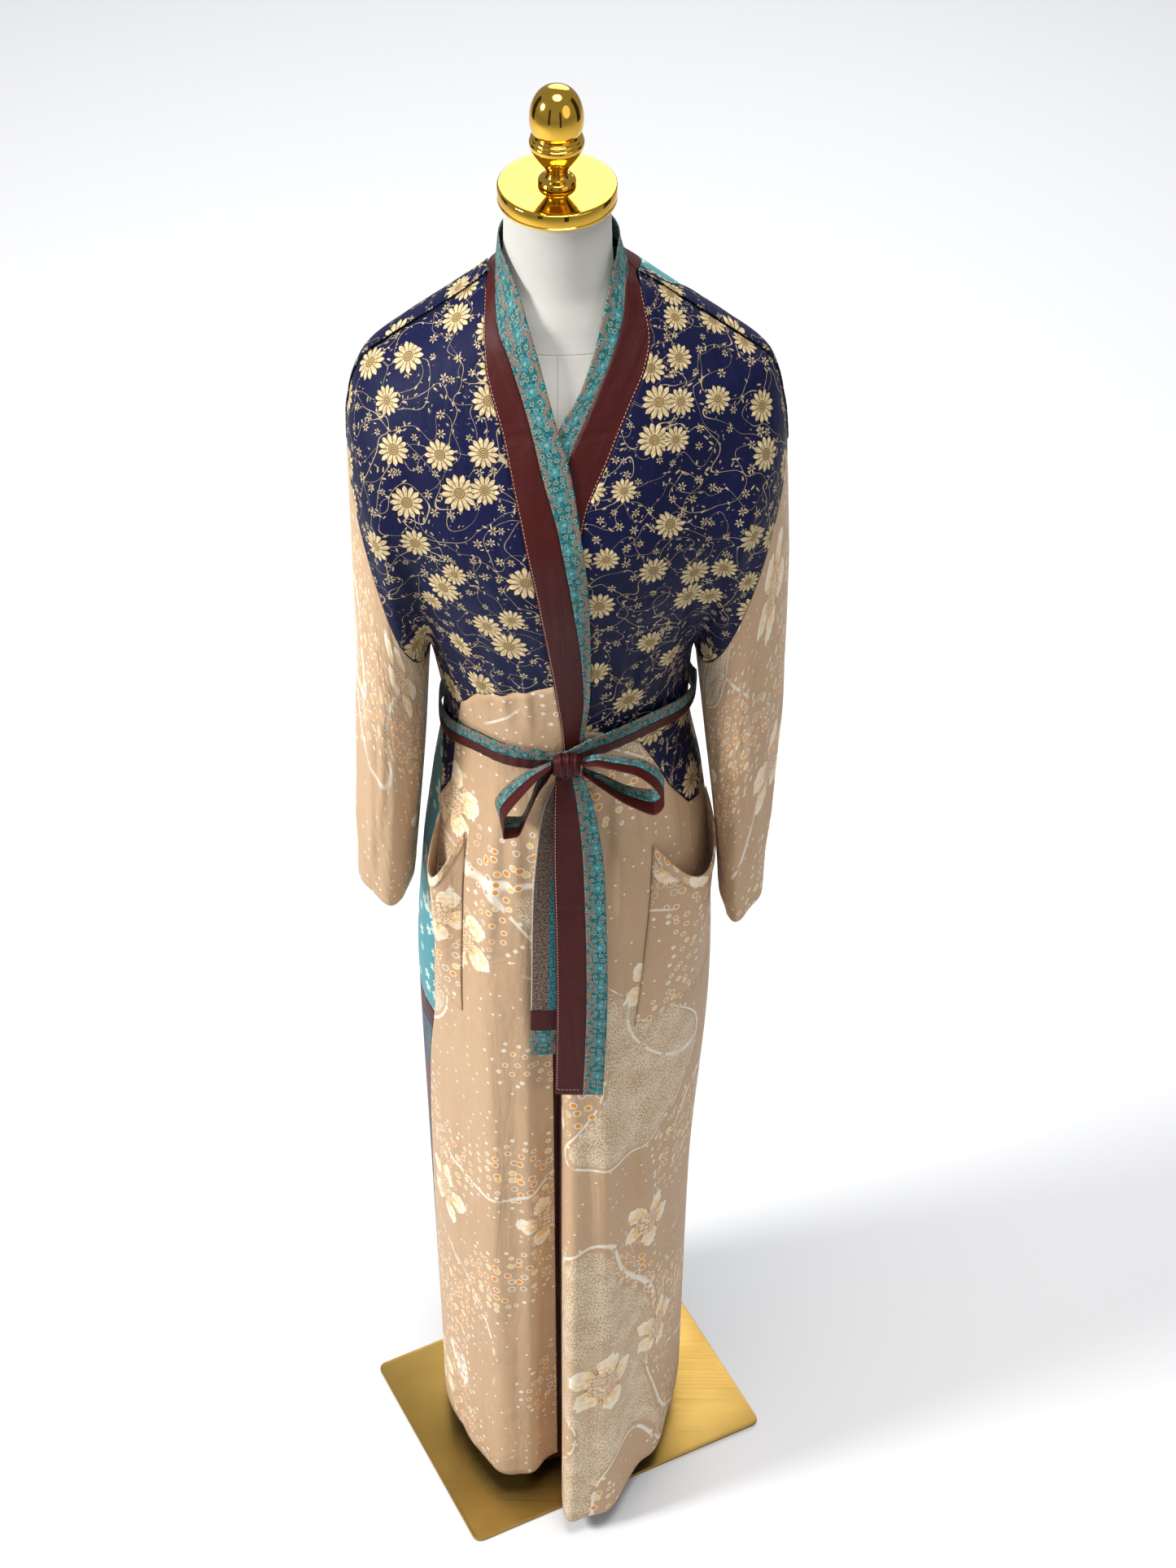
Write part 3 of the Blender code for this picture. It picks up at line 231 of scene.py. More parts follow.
# The dress form is a smooth limbless torso with a neck, padded and covered in off-white linen. A
# seam runs round the foot of the neck, and another down the middle of the chest.
FORM_COLUMNS = "z width side_y front back"
FORM_ROWS = (
    (1.5650, 0.0435, 0.045, 0.0435, 0.0435),
    (1.5300, 0.0446, 0.045, 0.0446, 0.0446),
    (1.5000, 0.0462, 0.045, 0.0462, 0.0466),
    (1.4800, 0.0630, 0.043, 0.0520, 0.0520),
    (1.4640, 0.0880, 0.041, 0.0540, 0.0560),
    (1.4460, 0.1140, 0.039, 0.0600, 0.0620),
    (1.4130, 0.1480, 0.036, 0.0810, 0.0740),
    (1.3600, 0.1600, 0.035, 0.1050, 0.0840),
    (1.3000, 0.1500, 0.035, 0.1240, 0.0880),
    (1.2000, 0.1260, 0.035, 0.1150, 0.0780),
    (1.1000, 0.1040, 0.035, 0.0990, 0.0640),
    (1.0400, 0.0990, 0.035, 0.0960, 0.0600),
    (0.9500, 0.1100, 0.035, 0.0980, 0.0700),
    (0.8500, 0.1220, 0.034, 0.1000, 0.0860),
    (0.7900, 0.1240, 0.033, 0.0980, 0.0860),
    (0.7560, 0.1160, 0.033, 0.0900, 0.0800),
    (0.7450, 0.0980, 0.033, 0.0720, 0.0640))
NECK_SEAM_Z = 1.4540


def table(names, rows):
    """A table's named columns, as arrays."""
    return {name: np.array(column, float) for name, column in zip(names.split(), zip(*rows))}


def smooth(places, knots, values):
    """Values at some places of a smooth curve through a column, with no overshoot between rows."""
    if knots[0] > knots[-1]:
        knots, values = knots[::-1], values[::-1]
    step = np.diff(knots)
    secant = np.diff(values) / step
    same_way = secant[:-1] * secant[1:] > 0
    total = np.where(same_way, secant[:-1] + secant[1:], 1.0)
    inner_slope = np.where(same_way, 2 * secant[:-1] * secant[1:] / total, 0.0)
    slope = np.concatenate((secant[:1], inner_slope, secant[-1:]))
    places = np.clip(places, knots[0], knots[-1])
    row = np.clip(np.searchsorted(knots, places) - 1, 0, len(knots) - 2)
    h = step[row]
    s = (places - knots[row]) / h
    return ((1 + 2 * s) * (1 - s) ** 2 * values[row] + s * (1 - s) ** 2 * h * slope[row]
            + s * s * (3 - 2 * s) * values[row + 1] + s * s * (s - 1) * h * slope[row + 1])


def minus(one, other):
    """A difference."""
    return maths("SUBTRACT", one, other)


def away_from(middle, value):
    """How far a value is from a middle one."""
    return maths("ABSOLUTE", maths("SUBTRACT", value, middle))


def over(value, limit):
    """1 where a value is over a limit, with a sharp edge."""
    return maths("GREATER_THAN", value, limit)


def parts(place):
    """A place's x, y and z."""
    return node("ShaderNodeSeparateXYZ", {0: place}).outputs


def linen_cover():
    """Off-white linen, woven coarse, with the form's two seams."""
    made, tree, shader = new_finish("linen_cover", Roughness=0.88, Sheen_Weight=0.15)
    place = on_object(tree)
    down, round_ = (node("ShaderNodeTexWave", {"Vector": place, "Scale": 260.0, "Distortion": 1.5,
                                               "Detail": 2.0, "Detail Scale": 3.0},
                         bands_direction=way).outputs[1] for way in ("Z", "X"))
    weave = maths("MULTIPLY", down, round_)
    x, y, z = parts(place)
    at_neck = away_from(NECK_SEAM_Z, z)
    middle = maths("ADD", maths("ABSOLUTE", x), over(z, NECK_SEAM_Z))
    seam = maths("MULTIPLY_ADD", maths("MINIMUM", at_neck, middle), -1 / 0.0008, 1.0, clamp=True)
    tone = blend(clouds(place, 30.0, 4.0), (0.50, 0.485, 0.43), (0.62, 0.605, 0.55))
    tone = blend(maths("MULTIPLY", seam, 0.45), tone, (0.40, 0.37, 0.32))
    tree.links.new(tone, shader.inputs["Base Color"])
    height = minus(maths("MULTIPLY", weave, 0.25), seam)
    relief(tree, shader, height, 0.6, 0.0006)
    return made


FORM = table(FORM_COLUMNS, FORM_ROWS)
form_heights = np.concatenate(((0.745, 0.748, 0.756, 0.77), np.linspace(0.79, 1.34, 24),
                               np.linspace(1.36, 1.49, 14), (1.50, 1.52, 1.54, 1.5636, 1.565)))
form_rings = []
for z in form_heights:
    wide, middle, front_deep, back_deep = (float(smooth(np.array(z), FORM["z"], FORM[name]))
                                           for name in ("width", "side_y", "front", "back"))
    form_rings.append((wide, (front_deep + back_deep) / 2, middle + (back_deep - front_deep) / 2, z))
stack_rings("linen_dress_form", form_rings, 64, 0, linen_cover(), "linen", "dress_form")


# The neck cap is a turned brass disc, polished and gold plated, with a rounded rim. It is screwed
# down on the neck's top by the finial.
NECK_Y = 0.045
CAP_RINGS = ((0.0455, 1.5655), (0.0480, 1.5655), (0.0488, 1.5662), (0.0488, 1.5675), (0.0479, 1.5682),
             (0.0479, 1.5694), (0.0488, 1.5700), (0.0488, 1.5788), (0.0484, 1.5796), (0.0476, 1.5800),
             (0.0440, 1.5800))


def polished_gold():
    """Polished gold plating with faint wear."""
    made, tree, shader = new_finish("polished_gold", Metallic=1.0)
    place = on_object(tree)
    wear = clouds(place, 60.0, 4.0, 0.6)
    tree.links.new(blend(wear, (0.74, 0.42, 0.045), (0.84, 0.52, 0.085)), shader.inputs["Base Color"])
    tree.links.new(spread(wear, 0.35, 0.75, 0.045, 0.13), shader.inputs["Roughness"])
    relief(tree, shader, clouds(place, 220.0, 2.0), 0.04, 0.0004)
    return made


GOLD = polished_gold()
stack_rings("gold_neck_cap", [(r, r, NECK_Y, z) for r, z in CAP_RINGS], 128, 0, GOLD, "polished_gold",
            "neck_cap")


# The finial is one turned brass piece: an egg over two beads, a bulb that narrows to a stem, and a
# flared collar that bears on the cap. It is polished and gold plated as the cap is.
FINIAL_RINGS = ((0.0130, 1.5803), (0.0157, 1.5803), (0.0157, 1.5812), (0.0157, 1.5830), (0.0154, 1.5848),
                (0.0128, 1.5862), (0.0105, 1.5872), (0.0092, 1.5888), (0.0088, 1.5908), (0.0094, 1.5940),
                (0.0118, 1.5978), (0.0140, 1.6005), (0.0178, 1.6065), (0.0204, 1.6110), (0.0222, 1.6155),
                (0.0226, 1.6190), (0.0222, 1.6208), (0.0206, 1.6214), (0.0203, 1.6218), (0.0214, 1.6226),
                (0.0214, 1.6238), (0.0200, 1.6248), (0.0186, 1.6254), (0.0184, 1.6262), (0.0192, 1.6276),
                (0.0208, 1.6306), (0.0218, 1.6345), (0.0223, 1.6400), (0.0219, 1.6465), (0.0204, 1.6530),
                (0.0178, 1.6590), (0.0143, 1.6638), (0.0098, 1.6670), (0.0050, 1.6686), (0.0012, 1.6690))
stack_rings("gold_finial", [(r, r, NECK_Y, z) for r, z in FINIAL_RINGS], 64, 1, GOLD, "polished_gold",
            "finial")


# The two front yokes are navy cotton satin, printed with cream daisies on thin vines. Each is cut in
# one piece from the shoulder to the waist, and is felled to the band, the sleeve and the back.
GAP = 0.0003
CLOTH = 0.0009
UNDERARM_Z = 1.108
ARMHOLE_TOP_Z = 1.33
ARMHOLE_CURVE = 1.15
BELT_Z = 1.05
HEM_Z_RIGHT = 0.042
HEM_Z_LEFT = 0.022
HEM_Z_SIDE = 0.038
LAP_AT_BELT = 0.0029
LAP_AT_HEM = 0.0090
YOKE_COLUMNS = 84
YOKE_ROWS = 96
YOKE_SIDE_ROWS = 30
BAND_END_ROWS = 14
YOKE_FOOT = {"right": 0.952, "left": 0.932}
JOIN_POWER = 6
CREASE_FADE = 0.35
LAP_REACH, LAP_RISE = 0.045, 0.035
ARMHOLE_SLACK = 0.0012
THREAD_LENGTH = 0.0027
THREAD_PITCH = 0.0036
THREAD_WIDTH = 0.00032

# Where pieces are cut from their printed cloth, so that no two show the same stretch of it.
CUT_FROM = {
    "navy_yoke_right": (0.231, 0.0), "navy_yoke_left": (0.013, 0.0),
    "navy_shoulder_right": (0.41, 0.9), "navy_shoulder_left": (0.41, 0.9),
    "tan_skirt_right": (2.08, 0.0), "tan_skirt_left": (1.72, 0.0),
    "tan_sleeve_right": (0.0, 0.90), "tan_sleeve_left": (0.46, 0.74),
    "tan_pocket_right": (1.17, 0.696), "tan_pocket_left": (1.52, 0.428),
    "pocket_hem_right": (0.7, 0.2), "pocket_hem_left": (0.7, 0.2)}

# Half widths of the robe to the wearer's right and left, the ring's middle in Y, and its depths.
BODY = table("z right left side_y front back", (
    (1.540, 0.0480, 0.0500, 0.045, 0.0500, 0.0520),
    (1.515, 0.0500, 0.0525, 0.045, 0.0520, 0.0545),
    (1.500, 0.0535, 0.0600, 0.045, 0.0560, 0.0580),
    (1.485, 0.0680, 0.0820, 0.044, 0.0610, 0.0620),
    (1.460, 0.1030, 0.1180, 0.041, 0.0700, 0.0700),
    (1.435, 0.1400, 0.1540, 0.038, 0.0800, 0.0780),
    (1.413, 0.1660, 0.1800, 0.036, 0.0895, 0.0840),
    (1.380, 0.1770, 0.1890, 0.035, 0.1060, 0.0900),
    (1.340, 0.1800, 0.1930, 0.035, 0.1220, 0.0940),
    (1.300, 0.1780, 0.1900, 0.035, 0.1330, 0.0960),
    (1.250, 0.1620, 0.1700, 0.035, 0.1340, 0.0930),
    (1.200, 0.1430, 0.1480, 0.035, 0.1270, 0.0860),
    (1.150, 0.1265, 0.1305, 0.035, 0.1180, 0.0780),
    (1.100, 0.1150, 0.1185, 0.035, 0.1110, 0.0720),
    (1.040, 0.1080, 0.1160, 0.035, 0.1060, 0.0680),
    (0.950, 0.1200, 0.1300, 0.035, 0.1120, 0.0790),
    (0.850, 0.1330, 0.1400, 0.034, 0.1180, 0.0980),
    (0.700, 0.1430, 0.1445, 0.033, 0.1220, 0.1050),
    (0.380, 0.1400, 0.1290, 0.032, 0.1250, 0.1080),
    (0.020, 0.1350, 0.1240, 0.032, 0.1270, 0.1120)))
SLEEVE = table("z inner_right inner_left outer_right outer_left front back", (
    (1.400, 0.1250, 0.1300, 0.1710, 0.1830, 0.030, 0.030),
    (1.360, 0.1100, 0.1150, 0.1800, 0.1925, 0.070, 0.060),
    (1.300, 0.1030, 0.1080, 0.1815, 0.1965, 0.088, 0.078),
    (1.200, 0.1060, 0.1100, 0.1830, 0.2015, 0.088, 0.085),
    (1.100, 0.1175, 0.1210, 0.1850, 0.2030, 0.085, 0.085),
    (1.000, 0.1240, 0.1310, 0.1880, 0.1985, 0.080, 0.082),
    (0.900, 0.1325, 0.1410, 0.1935, 0.1940, 0.074, 0.080),
    (0.800, 0.1420, 0.1480, 0.1970, 0.1905, 0.066, 0.076)))

# The collar band's edges from the shoulder ridge down to the belt, and the seam below each yoke.
BAND_COLUMNS = "inner_x inner_z seam_x seam_z outer_x outer_z"
BAND_RIGHT = table(BAND_COLUMNS, (
    (-0.0485, 1.532, -0.0515, 1.507, -0.0590, 1.4935),
    (-0.0350, 1.511, -0.0500, 1.480, -0.0600, 1.470),
    (-0.0200, 1.472, -0.0390, 1.455, -0.0590, 1.450),
    (0.0010, 1.407, -0.0205, 1.404, -0.0440, 1.398),
    (0.0100, 1.380, -0.0120, 1.372, -0.0360, 1.362),
    (0.0180, 1.335, 0.0000, 1.330, -0.0275, 1.320),
    (0.0255, 1.265, 0.0110, 1.263, -0.0175, 1.262),
    (0.0270, 1.190, 0.0185, 1.190, -0.0085, 1.190),
    (0.0260, 1.130, 0.0205, 1.130, -0.0020, 1.130),
    (0.0215, 1.085, 0.0170, 1.085, 0.0025, 1.085),
    (0.0200, 1.062, 0.0160, 1.062, 0.0035, 1.062)))
BAND_LEFT = table(BAND_COLUMNS, (
    (0.0503, 1.530, 0.0570, 1.503, 0.0665, 1.4955),
    (0.0390, 1.493, 0.0535, 1.483, 0.0730, 1.479),
    (0.0290, 1.460, 0.0460, 1.461, 0.0765, 1.465),
    (0.0180, 1.434, 0.0370, 1.442, 0.0730, 1.449),
    (0.0010, 1.407, 0.0235, 1.414, 0.0590, 1.421),
    (-0.0080, 1.375, 0.0090, 1.383, 0.0430, 1.386),
    (-0.0170, 1.325, -0.0010, 1.332, 0.0230, 1.340),
    (-0.0255, 1.262, -0.0080, 1.262, 0.0120, 1.262),
    (-0.0300, 1.190, -0.0150, 1.190, 0.0060, 1.190),
    (-0.0320, 1.130, -0.0180, 1.130, 0.0020, 1.130),
    (-0.0330, 1.075, -0.0200, 1.075, 0.0000, 1.075),
    (-0.0330, 1.040, -0.0200, 1.040, 0.0000, 1.040)))
YOKE_SEAM = {
    "right": table("x z", (
        (-0.0045, 1.153), (-0.036, 1.140), (-0.072, 1.119), (-0.089, 1.088),
        (-0.096, 1.030), (-0.101, 0.980), (-0.1118, 0.952))),
    "left": table("x z", (
        (0.0000, 1.095), (0.037, 1.083), (0.070, 1.056), (0.100, 0.985), (0.118, 0.946), (0.1315, 0.930)))}
SIDE_SEAM = table("z right left", (
    (1.100, -90.0, 90.0), (1.030, -90.0, 90.0), (0.990, -74.0, 90.0), (0.950, -69.0, 90.0),
    (0.810, -61.0, 90.0), (0.700, -60.0, 90.0), (0.587, -68.0, 90.0), (0.380, -77.0, 90.0),
    (0.020, -84.0, 90.0)))

# The free edges of the fronts below the belt: the right one's fold and the left one's edge.
SKIRT_EDGE = table("z right left", (
    (1.050, 0.0190, -0.0330), (1.010, 0.0120, -0.0340), (0.960, -0.0010, -0.0380),
    (0.850, -0.0060, -0.0500), (0.700, -0.0085, -0.0600), (0.020, -0.0090, -0.0620)))

# Folds of the skirt, which start at a height and grow down to the hem. A power of 4 is a steep wall.
FOLD_COLUMNS = "x depth left right power_left power_right lean top"
FOLDS = {
    "over": table(FOLD_COLUMNS, (
        (-0.124, 0.006, 0.010, 0.011, 2, 2, 0.000, 0.70),
        (-0.084, 0.024, 0.030, 0.030, 2, 2, 0.000, 1.00),
        (-0.045, 0.034, 0.020, 0.019, 2, 4, -0.006, 0.98))),
    "under": table(FOLD_COLUMNS, (
        (0.020, 0.084, 0.018, 0.053, 4, 2, 0.018, 0.97),
        (0.088, 0.010, 0.016, 0.016, 2, 2, 0.000, 0.90))),
    "back": table(FOLD_COLUMNS, (
        (-0.108, 0.014, 0.013, 0.013, 2, 2, 0.000, 0.76),
        (-0.070, 0.022, 0.018, 0.016, 2, 2, 0.000, 1.00),
        (-0.018, 0.018, 0.016, 0.018, 2, 2, 0.000, 0.96),
        (0.036, 0.024, 0.018, 0.018, 2, 2, 0.000, 1.00),
        (0.088, 0.017, 0.015, 0.014, 2, 2, 0.000, 0.94)))}

# Creases of the fronts and the back, each along a line from one place to another.
CREASE_COLUMNS = "x0 z0 x1 z1 depth width"
CREASES = {
    "front": table(CREASE_COLUMNS, (
        (-0.080, 1.075, -0.122, 1.235, 0.0050, 0.0065), (-0.062, 1.085, -0.086, 1.230, 0.0038, 0.0060),
        (-0.044, 1.085, -0.056, 1.190, 0.0030, 0.0055), (-0.026, 1.080, -0.030, 1.170, 0.0026, 0.0050),
        (-0.128, 1.130, -0.160, 1.345, 0.0060, 0.0090), (-0.104, 1.110, -0.146, 1.300, 0.0045, 0.0075),
        (0.030, 1.095, 0.034, 1.200, 0.0036, 0.0060), (0.048, 1.100, 0.060, 1.235, 0.0042, 0.0065),
        (0.066, 1.098, 0.084, 1.225, 0.0048, 0.0060), (0.084, 1.090, 0.112, 1.250, 0.0052, 0.0065),
        (0.102, 1.085, 0.140, 1.300, 0.0056, 0.0080), (0.130, 1.140, 0.168, 1.360, 0.0060, 0.0090),
        (-0.075, 1.000, -0.088, 0.840, 0.0036, 0.0070), (-0.055, 1.025, -0.066, 0.780, 0.0042, 0.0065),
        (-0.036, 1.030, -0.040, 0.860, 0.0034, 0.0060), (-0.016, 1.035, -0.018, 0.800, 0.0030, 0.0060),
        (0.030, 1.045, 0.034, 0.880, 0.0034, 0.0060), (0.050, 1.050, 0.058, 0.800, 0.0042, 0.0065),
        (0.070, 1.045, 0.082, 0.900, 0.0040, 0.0060), (0.092, 1.035, 0.108, 0.900, 0.0040, 0.0060),
        (-0.104, 0.800, -0.116, -0.340, 0.0100, 0.0115), (-0.066, 0.950, -0.060, -0.400, 0.0120, 0.0125),
        (-0.028, 0.880, -0.019, -0.370, 0.0090, 0.0110), (0.018, 0.700, 0.009, -0.300, 0.0080, 0.0105),
        (0.046, 0.940, 0.037, -0.400, 0.0120, 0.0120), (0.076, 0.860, 0.082, -0.360, 0.0100, 0.0115),
        (0.104, 0.800, 0.116, -0.340, 0.0080, 0.0105))),
    "back": table(CREASE_COLUMNS, (
        (-0.075, 1.070, -0.100, 1.240, 0.0045, 0.0070), (-0.045, 1.065, -0.055, 1.210, 0.0040, 0.0065),
        (-0.015, 1.065, -0.016, 1.230, 0.0036, 0.0065), (0.018, 1.065, 0.022, 1.190, 0.0040, 0.0060),
        (0.045, 1.065, 0.058, 1.250, 0.0042, 0.0070), (0.075, 1.070, 0.104, 1.220, 0.0044, 0.0070),
        (-0.080, 1.020, -0.092, 0.850, 0.0040, 0.0070), (-0.050, 1.020, -0.056, 0.800, 0.0040, 0.0065),
        (-0.005, 1.020, -0.004, 0.840, 0.0036, 0.0065), (0.020, 1.020, 0.022, 0.800, 0.0036, 0.0065),
        (0.060, 1.020, 0.070, 0.830, 0.0040, 0.0070), (0.086, 1.020, 0.098, 0.850, 0.0040, 0.0070),
        (-0.092, 0.800, -0.083, -0.340, 0.0080, 0.0100), (-0.046, 0.900, -0.043, -0.380, 0.0090, 0.0110),
        (0.008, 0.860, 0.011, -0.360, 0.0080, 0.0100), (0.062, 0.880, 0.065, -0.370, 0.0090, 0.0110)))}


def column(rings, name, z):
    """A ring table's column at some heights."""
    return smooth(z, rings["z"], rings[name])


def by_side(rings, name, x, z):
    """A column that has a right and a left version, taken on the side where x lies."""
    return np.where(x > 0, column(rings, name + "left", z), column(rings, name + "right", z))


def ease(value):
    """A smooth step from 0 to 1."""
    value = np.clip(value, 0.0, 1.0)
    return value * value * (3 - 2 * value)


def creases(x, z, face):
    """The height of the creases of one face."""
    height = np.zeros_like(x * z)
    for x0, z0, x1, z1, size, width in zip(*CREASES[face].values()):
        run, rise = x1 - x0, z1 - z0
        along = ((x - x0) * run + (z - z0) * rise) / (run * run + rise * rise)
        away = ((x - x0) * rise - (z - z0) * run) / math.hypot(run, rise)
        fade = ease(along / CREASE_FADE) * ease((1 - along) / CREASE_FADE)
        height = height + size * np.exp(-(away / width) ** 2) * fade
    return height


def depth(x, z, face):
    """How far the robe stands in front of, or behind, its ring's middle: body and sleeve joined."""
    width = by_side(BODY, "", x, z)
    body = column(BODY, face, z) * np.sqrt(np.maximum(0.0, 1 - (x / width) ** 2))
    inner = by_side(SLEEVE, "inner_", x, z)
    outer = by_side(SLEEVE, "outer_", x, z)
    across = (np.abs(x) - (inner + outer) / 2) / ((outer - inner) / 2)
    sleeve = column(SLEEVE, face, z) * np.sqrt(np.maximum(0.0, 1 - across ** 2))
    sleeve = np.where((z > SLEEVE["z"][0]) | (z < UNDERARM_Z), 0.0, sleeve)
    joined = (body ** JOIN_POWER + sleeve ** JOIN_POWER) ** (1 / JOIN_POWER)
    return joined + creases(x, z, face) * ease(joined / 0.05)


def lap(x, z):
    """How far the right front lies over the left one."""
    band = np.interp(-z, -BAND_LEFT["inner_z"], BAND_LEFT["inner_x"])
    edge = np.where(z > BAND_LEFT["inner_z"][-1], band, column(SKIRT_EDGE, "left", z))
    height = np.interp(-z, (-BELT_Z, -0.95), (LAP_AT_BELT, LAP_AT_HEM))
    return height * ease((x - edge + LAP_REACH) / LAP_RISE)


def humps(x, z, layer):
    """The folds' height over the ring and their sideways lean."""
    height, shift = np.zeros_like(x * z), np.zeros_like(x * z)
    for row in zip(*FOLDS[layer].values()):
        place, size, left, right, power_left, power_right, lean, top = row
        away = x - place
        width = np.where(away < 0, left, right)
        power = np.where(away < 0, power_left, power_right)
        hump = np.exp(-np.abs(away / width) ** power)
        hump = hump * np.clip((top - z) / (top - HEM_Z_LEFT), 0.0, 1.0)
        height = height + size * hump
        shift = shift - lean * hump
    return height, shift


def robe(x, z, layer):
    """Points of the robe's surface at places (x, z) of its over or under front, or its back."""
    face = "back" if layer == "back" else "front"
    sign = 1.0 if layer == "back" else -1.0
    width = by_side(BODY, "", x, z)
    deep = depth(x, z, face)
    height, shift = humps(x, z, layer)
    if layer == "over":
        height = height + lap(x, z)
    lean_x = np.clip(x / width, -1.0, 1.0) / width
    lean_y = np.sqrt(np.maximum(0.0, 1 - (lean_x * width) ** 2)) / column(BODY, face, z)
    size = np.hypot(lean_x, lean_y)
    y = column(BODY, "side_y", z) + sign * (deep + height * lean_y / size)
    return np.stack((x + shift + height * lean_x / size, y, z + 0 * x), -1)


def underarm(side):
    """Half way between the body and the sleeve, where they part."""
    return (column(BODY, side, UNDERARM_Z) + column(SLEEVE, "inner_" + side, UNDERARM_Z)) / 2


def armhole_gap(share):
    """Half the gap along the armhole seam, wider at the underarm."""
    return GAP / 2 + ARMHOLE_SLACK * (1 - share) ** 4


def path(points, count):
    """Evenly spread places along a line of (x, z) points."""
    points = np.asarray(points, float)
    run = np.concatenate(((0.0,), np.cumsum(np.hypot(*np.diff(points, axis=0).T))))
    share = np.linspace(0, 1, count) * run[-1]
    return np.stack((np.interp(share, run, points[:, 0]), np.interp(share, run, points[:, 1])), -1)


def patch(top, bottom, start, end):
    """A grid of places inside four border lines; top and bottom run the same way."""
    v, u = np.meshgrid(np.linspace(0, 1, len(start)), np.linspace(0, 1, len(top)), indexing="ij")
    u, v = u[..., None], v[..., None]
    corners = ((1 - u) * (1 - v) * top[0] + u * (1 - v) * top[-1]
               + (1 - u) * v * bottom[0] + u * v * bottom[-1])
    return (1 - v) * top[None] + v * bottom[None] + (1 - u) * start[:, None] + u * end[:, None] - corners


def outline(z, sign):
    """The robe's half width at some heights above the underarm, sleeves and all."""
    side = "left" if sign > 0 else "right"
    arm = np.where(z > SLEEVE["z"][0], 0.0, column(SLEEVE, "outer_" + side, z))
    return sign * np.maximum(column(BODY, side, z), arm)


def armhole(sign, turns):
    """Places down an armhole seam, by degrees round the sleeve from its outer side."""
    side = "left" if sign > 0 else "right"
    share = (1 + np.cos(np.radians(turns))) / 2
    z = UNDERARM_Z + (ARMHOLE_TOP_Z - UNDERARM_Z) * share ** ARMHOLE_CURVE
    x = underarm(side) + (np.abs(outline(z, sign)) - underarm(side)) * share
    return np.stack((sign * (x - armhole_gap(share)), z), -1)


def ridge(sign, start_z, count):
    """Places along the shoulder ridge and down the outer edge, to the armhole's top."""
    z = np.linspace(start_z, ARMHOLE_TOP_Z, 300)
    return path(np.stack((outline(z, sign), z), -1), count)


def front(layer):
    """The surface of one front, held half a gap clear of the back."""
    return lambda x, z: robe(x, z, layer) - np.array((0.0, GAP / 2, 0.0))


def side_x(side, z):
    """The side seam's place at some heights."""
    return column(BODY, side, z) * np.sin(np.radians(column(SIDE_SEAM, side, z)))


def band_stations(side):
    """The band's three edges down to the belt; the first YOKE_ROWS stations lie beside the yoke."""
    band, seam = (BAND_RIGHT, YOKE_SEAM["right"]) if side == "right" else (BAND_LEFT, YOKE_SEAM["left"])
    knots = np.linspace(0, 1, len(band["outer_z"]))
    fine = np.linspace(0, 1, 400)
    height = smooth(fine, knots, band["outer_z"])
    step = np.hypot(np.diff(height), np.diff(smooth(fine, knots, band["outer_x"])))
    run = np.concatenate(((0.0,), np.cumsum(step)))
    foot = np.interp(-seam["z"][0], -height, run)
    stops = np.concatenate((np.linspace(0, foot, YOKE_ROWS), np.linspace(foot, run[-1], BAND_END_ROWS)[1:]))
    share = np.interp(stops, run, fine)
    edges = {name: smooth(share, knots, values) for name, values in band.items()}
    sign = 1.0 if side == "left" else -1.0
    for edge in ("inner", "seam", "outer"):
        edges[edge + "_x"][0] = outline(edges[edge + "_z"][0], sign)
    edges["outer_x"][0] -= sign * GAP
    return edges


def beside(line, gap):
    """A line of places moved sideways by a gap, to the left of its own direction."""
    along = np.gradient(line, axis=0)
    along /= np.linalg.norm(along, axis=1, keepdims=True)
    return line + gap * np.stack((-along[:, 1], along[:, 0]), -1)


def yoke_foot(side, sign, count):
    """The seam between a yoke and its skirt, as shared places."""
    seam = YOKE_SEAM[side]
    edges = band_stations(side)
    line = np.stack((seam["x"], seam["z"]), -1)
    line[0] = edges["outer_x"][YOKE_ROWS - 1] + sign * GAP, edges["outer_z"][YOKE_ROWS - 1]
    line[-1] = side_x(side, YOKE_FOOT[side]), YOKE_FOOT[side]
    return path(line, count)


def facing(surface, a, b):
    """Points of a surface and the directions that it faces, away from the robe's middle."""
    tiny = 1e-4
    points = surface(a, b)
    normal = np.cross(surface(a + tiny, b) - surface(a - tiny, b),
                      surface(a, b + tiny) - surface(a, b - tiny))
    normal /= np.maximum(np.linalg.norm(normal, axis=-1, keepdims=True), 1e-12)
    axis = np.stack((0 * points[..., 0], column(BODY, "side_y", points[..., 2]), points[..., 2]), -1)
    return points, normal if np.sum(normal * (points - axis)) > 0 else -normal


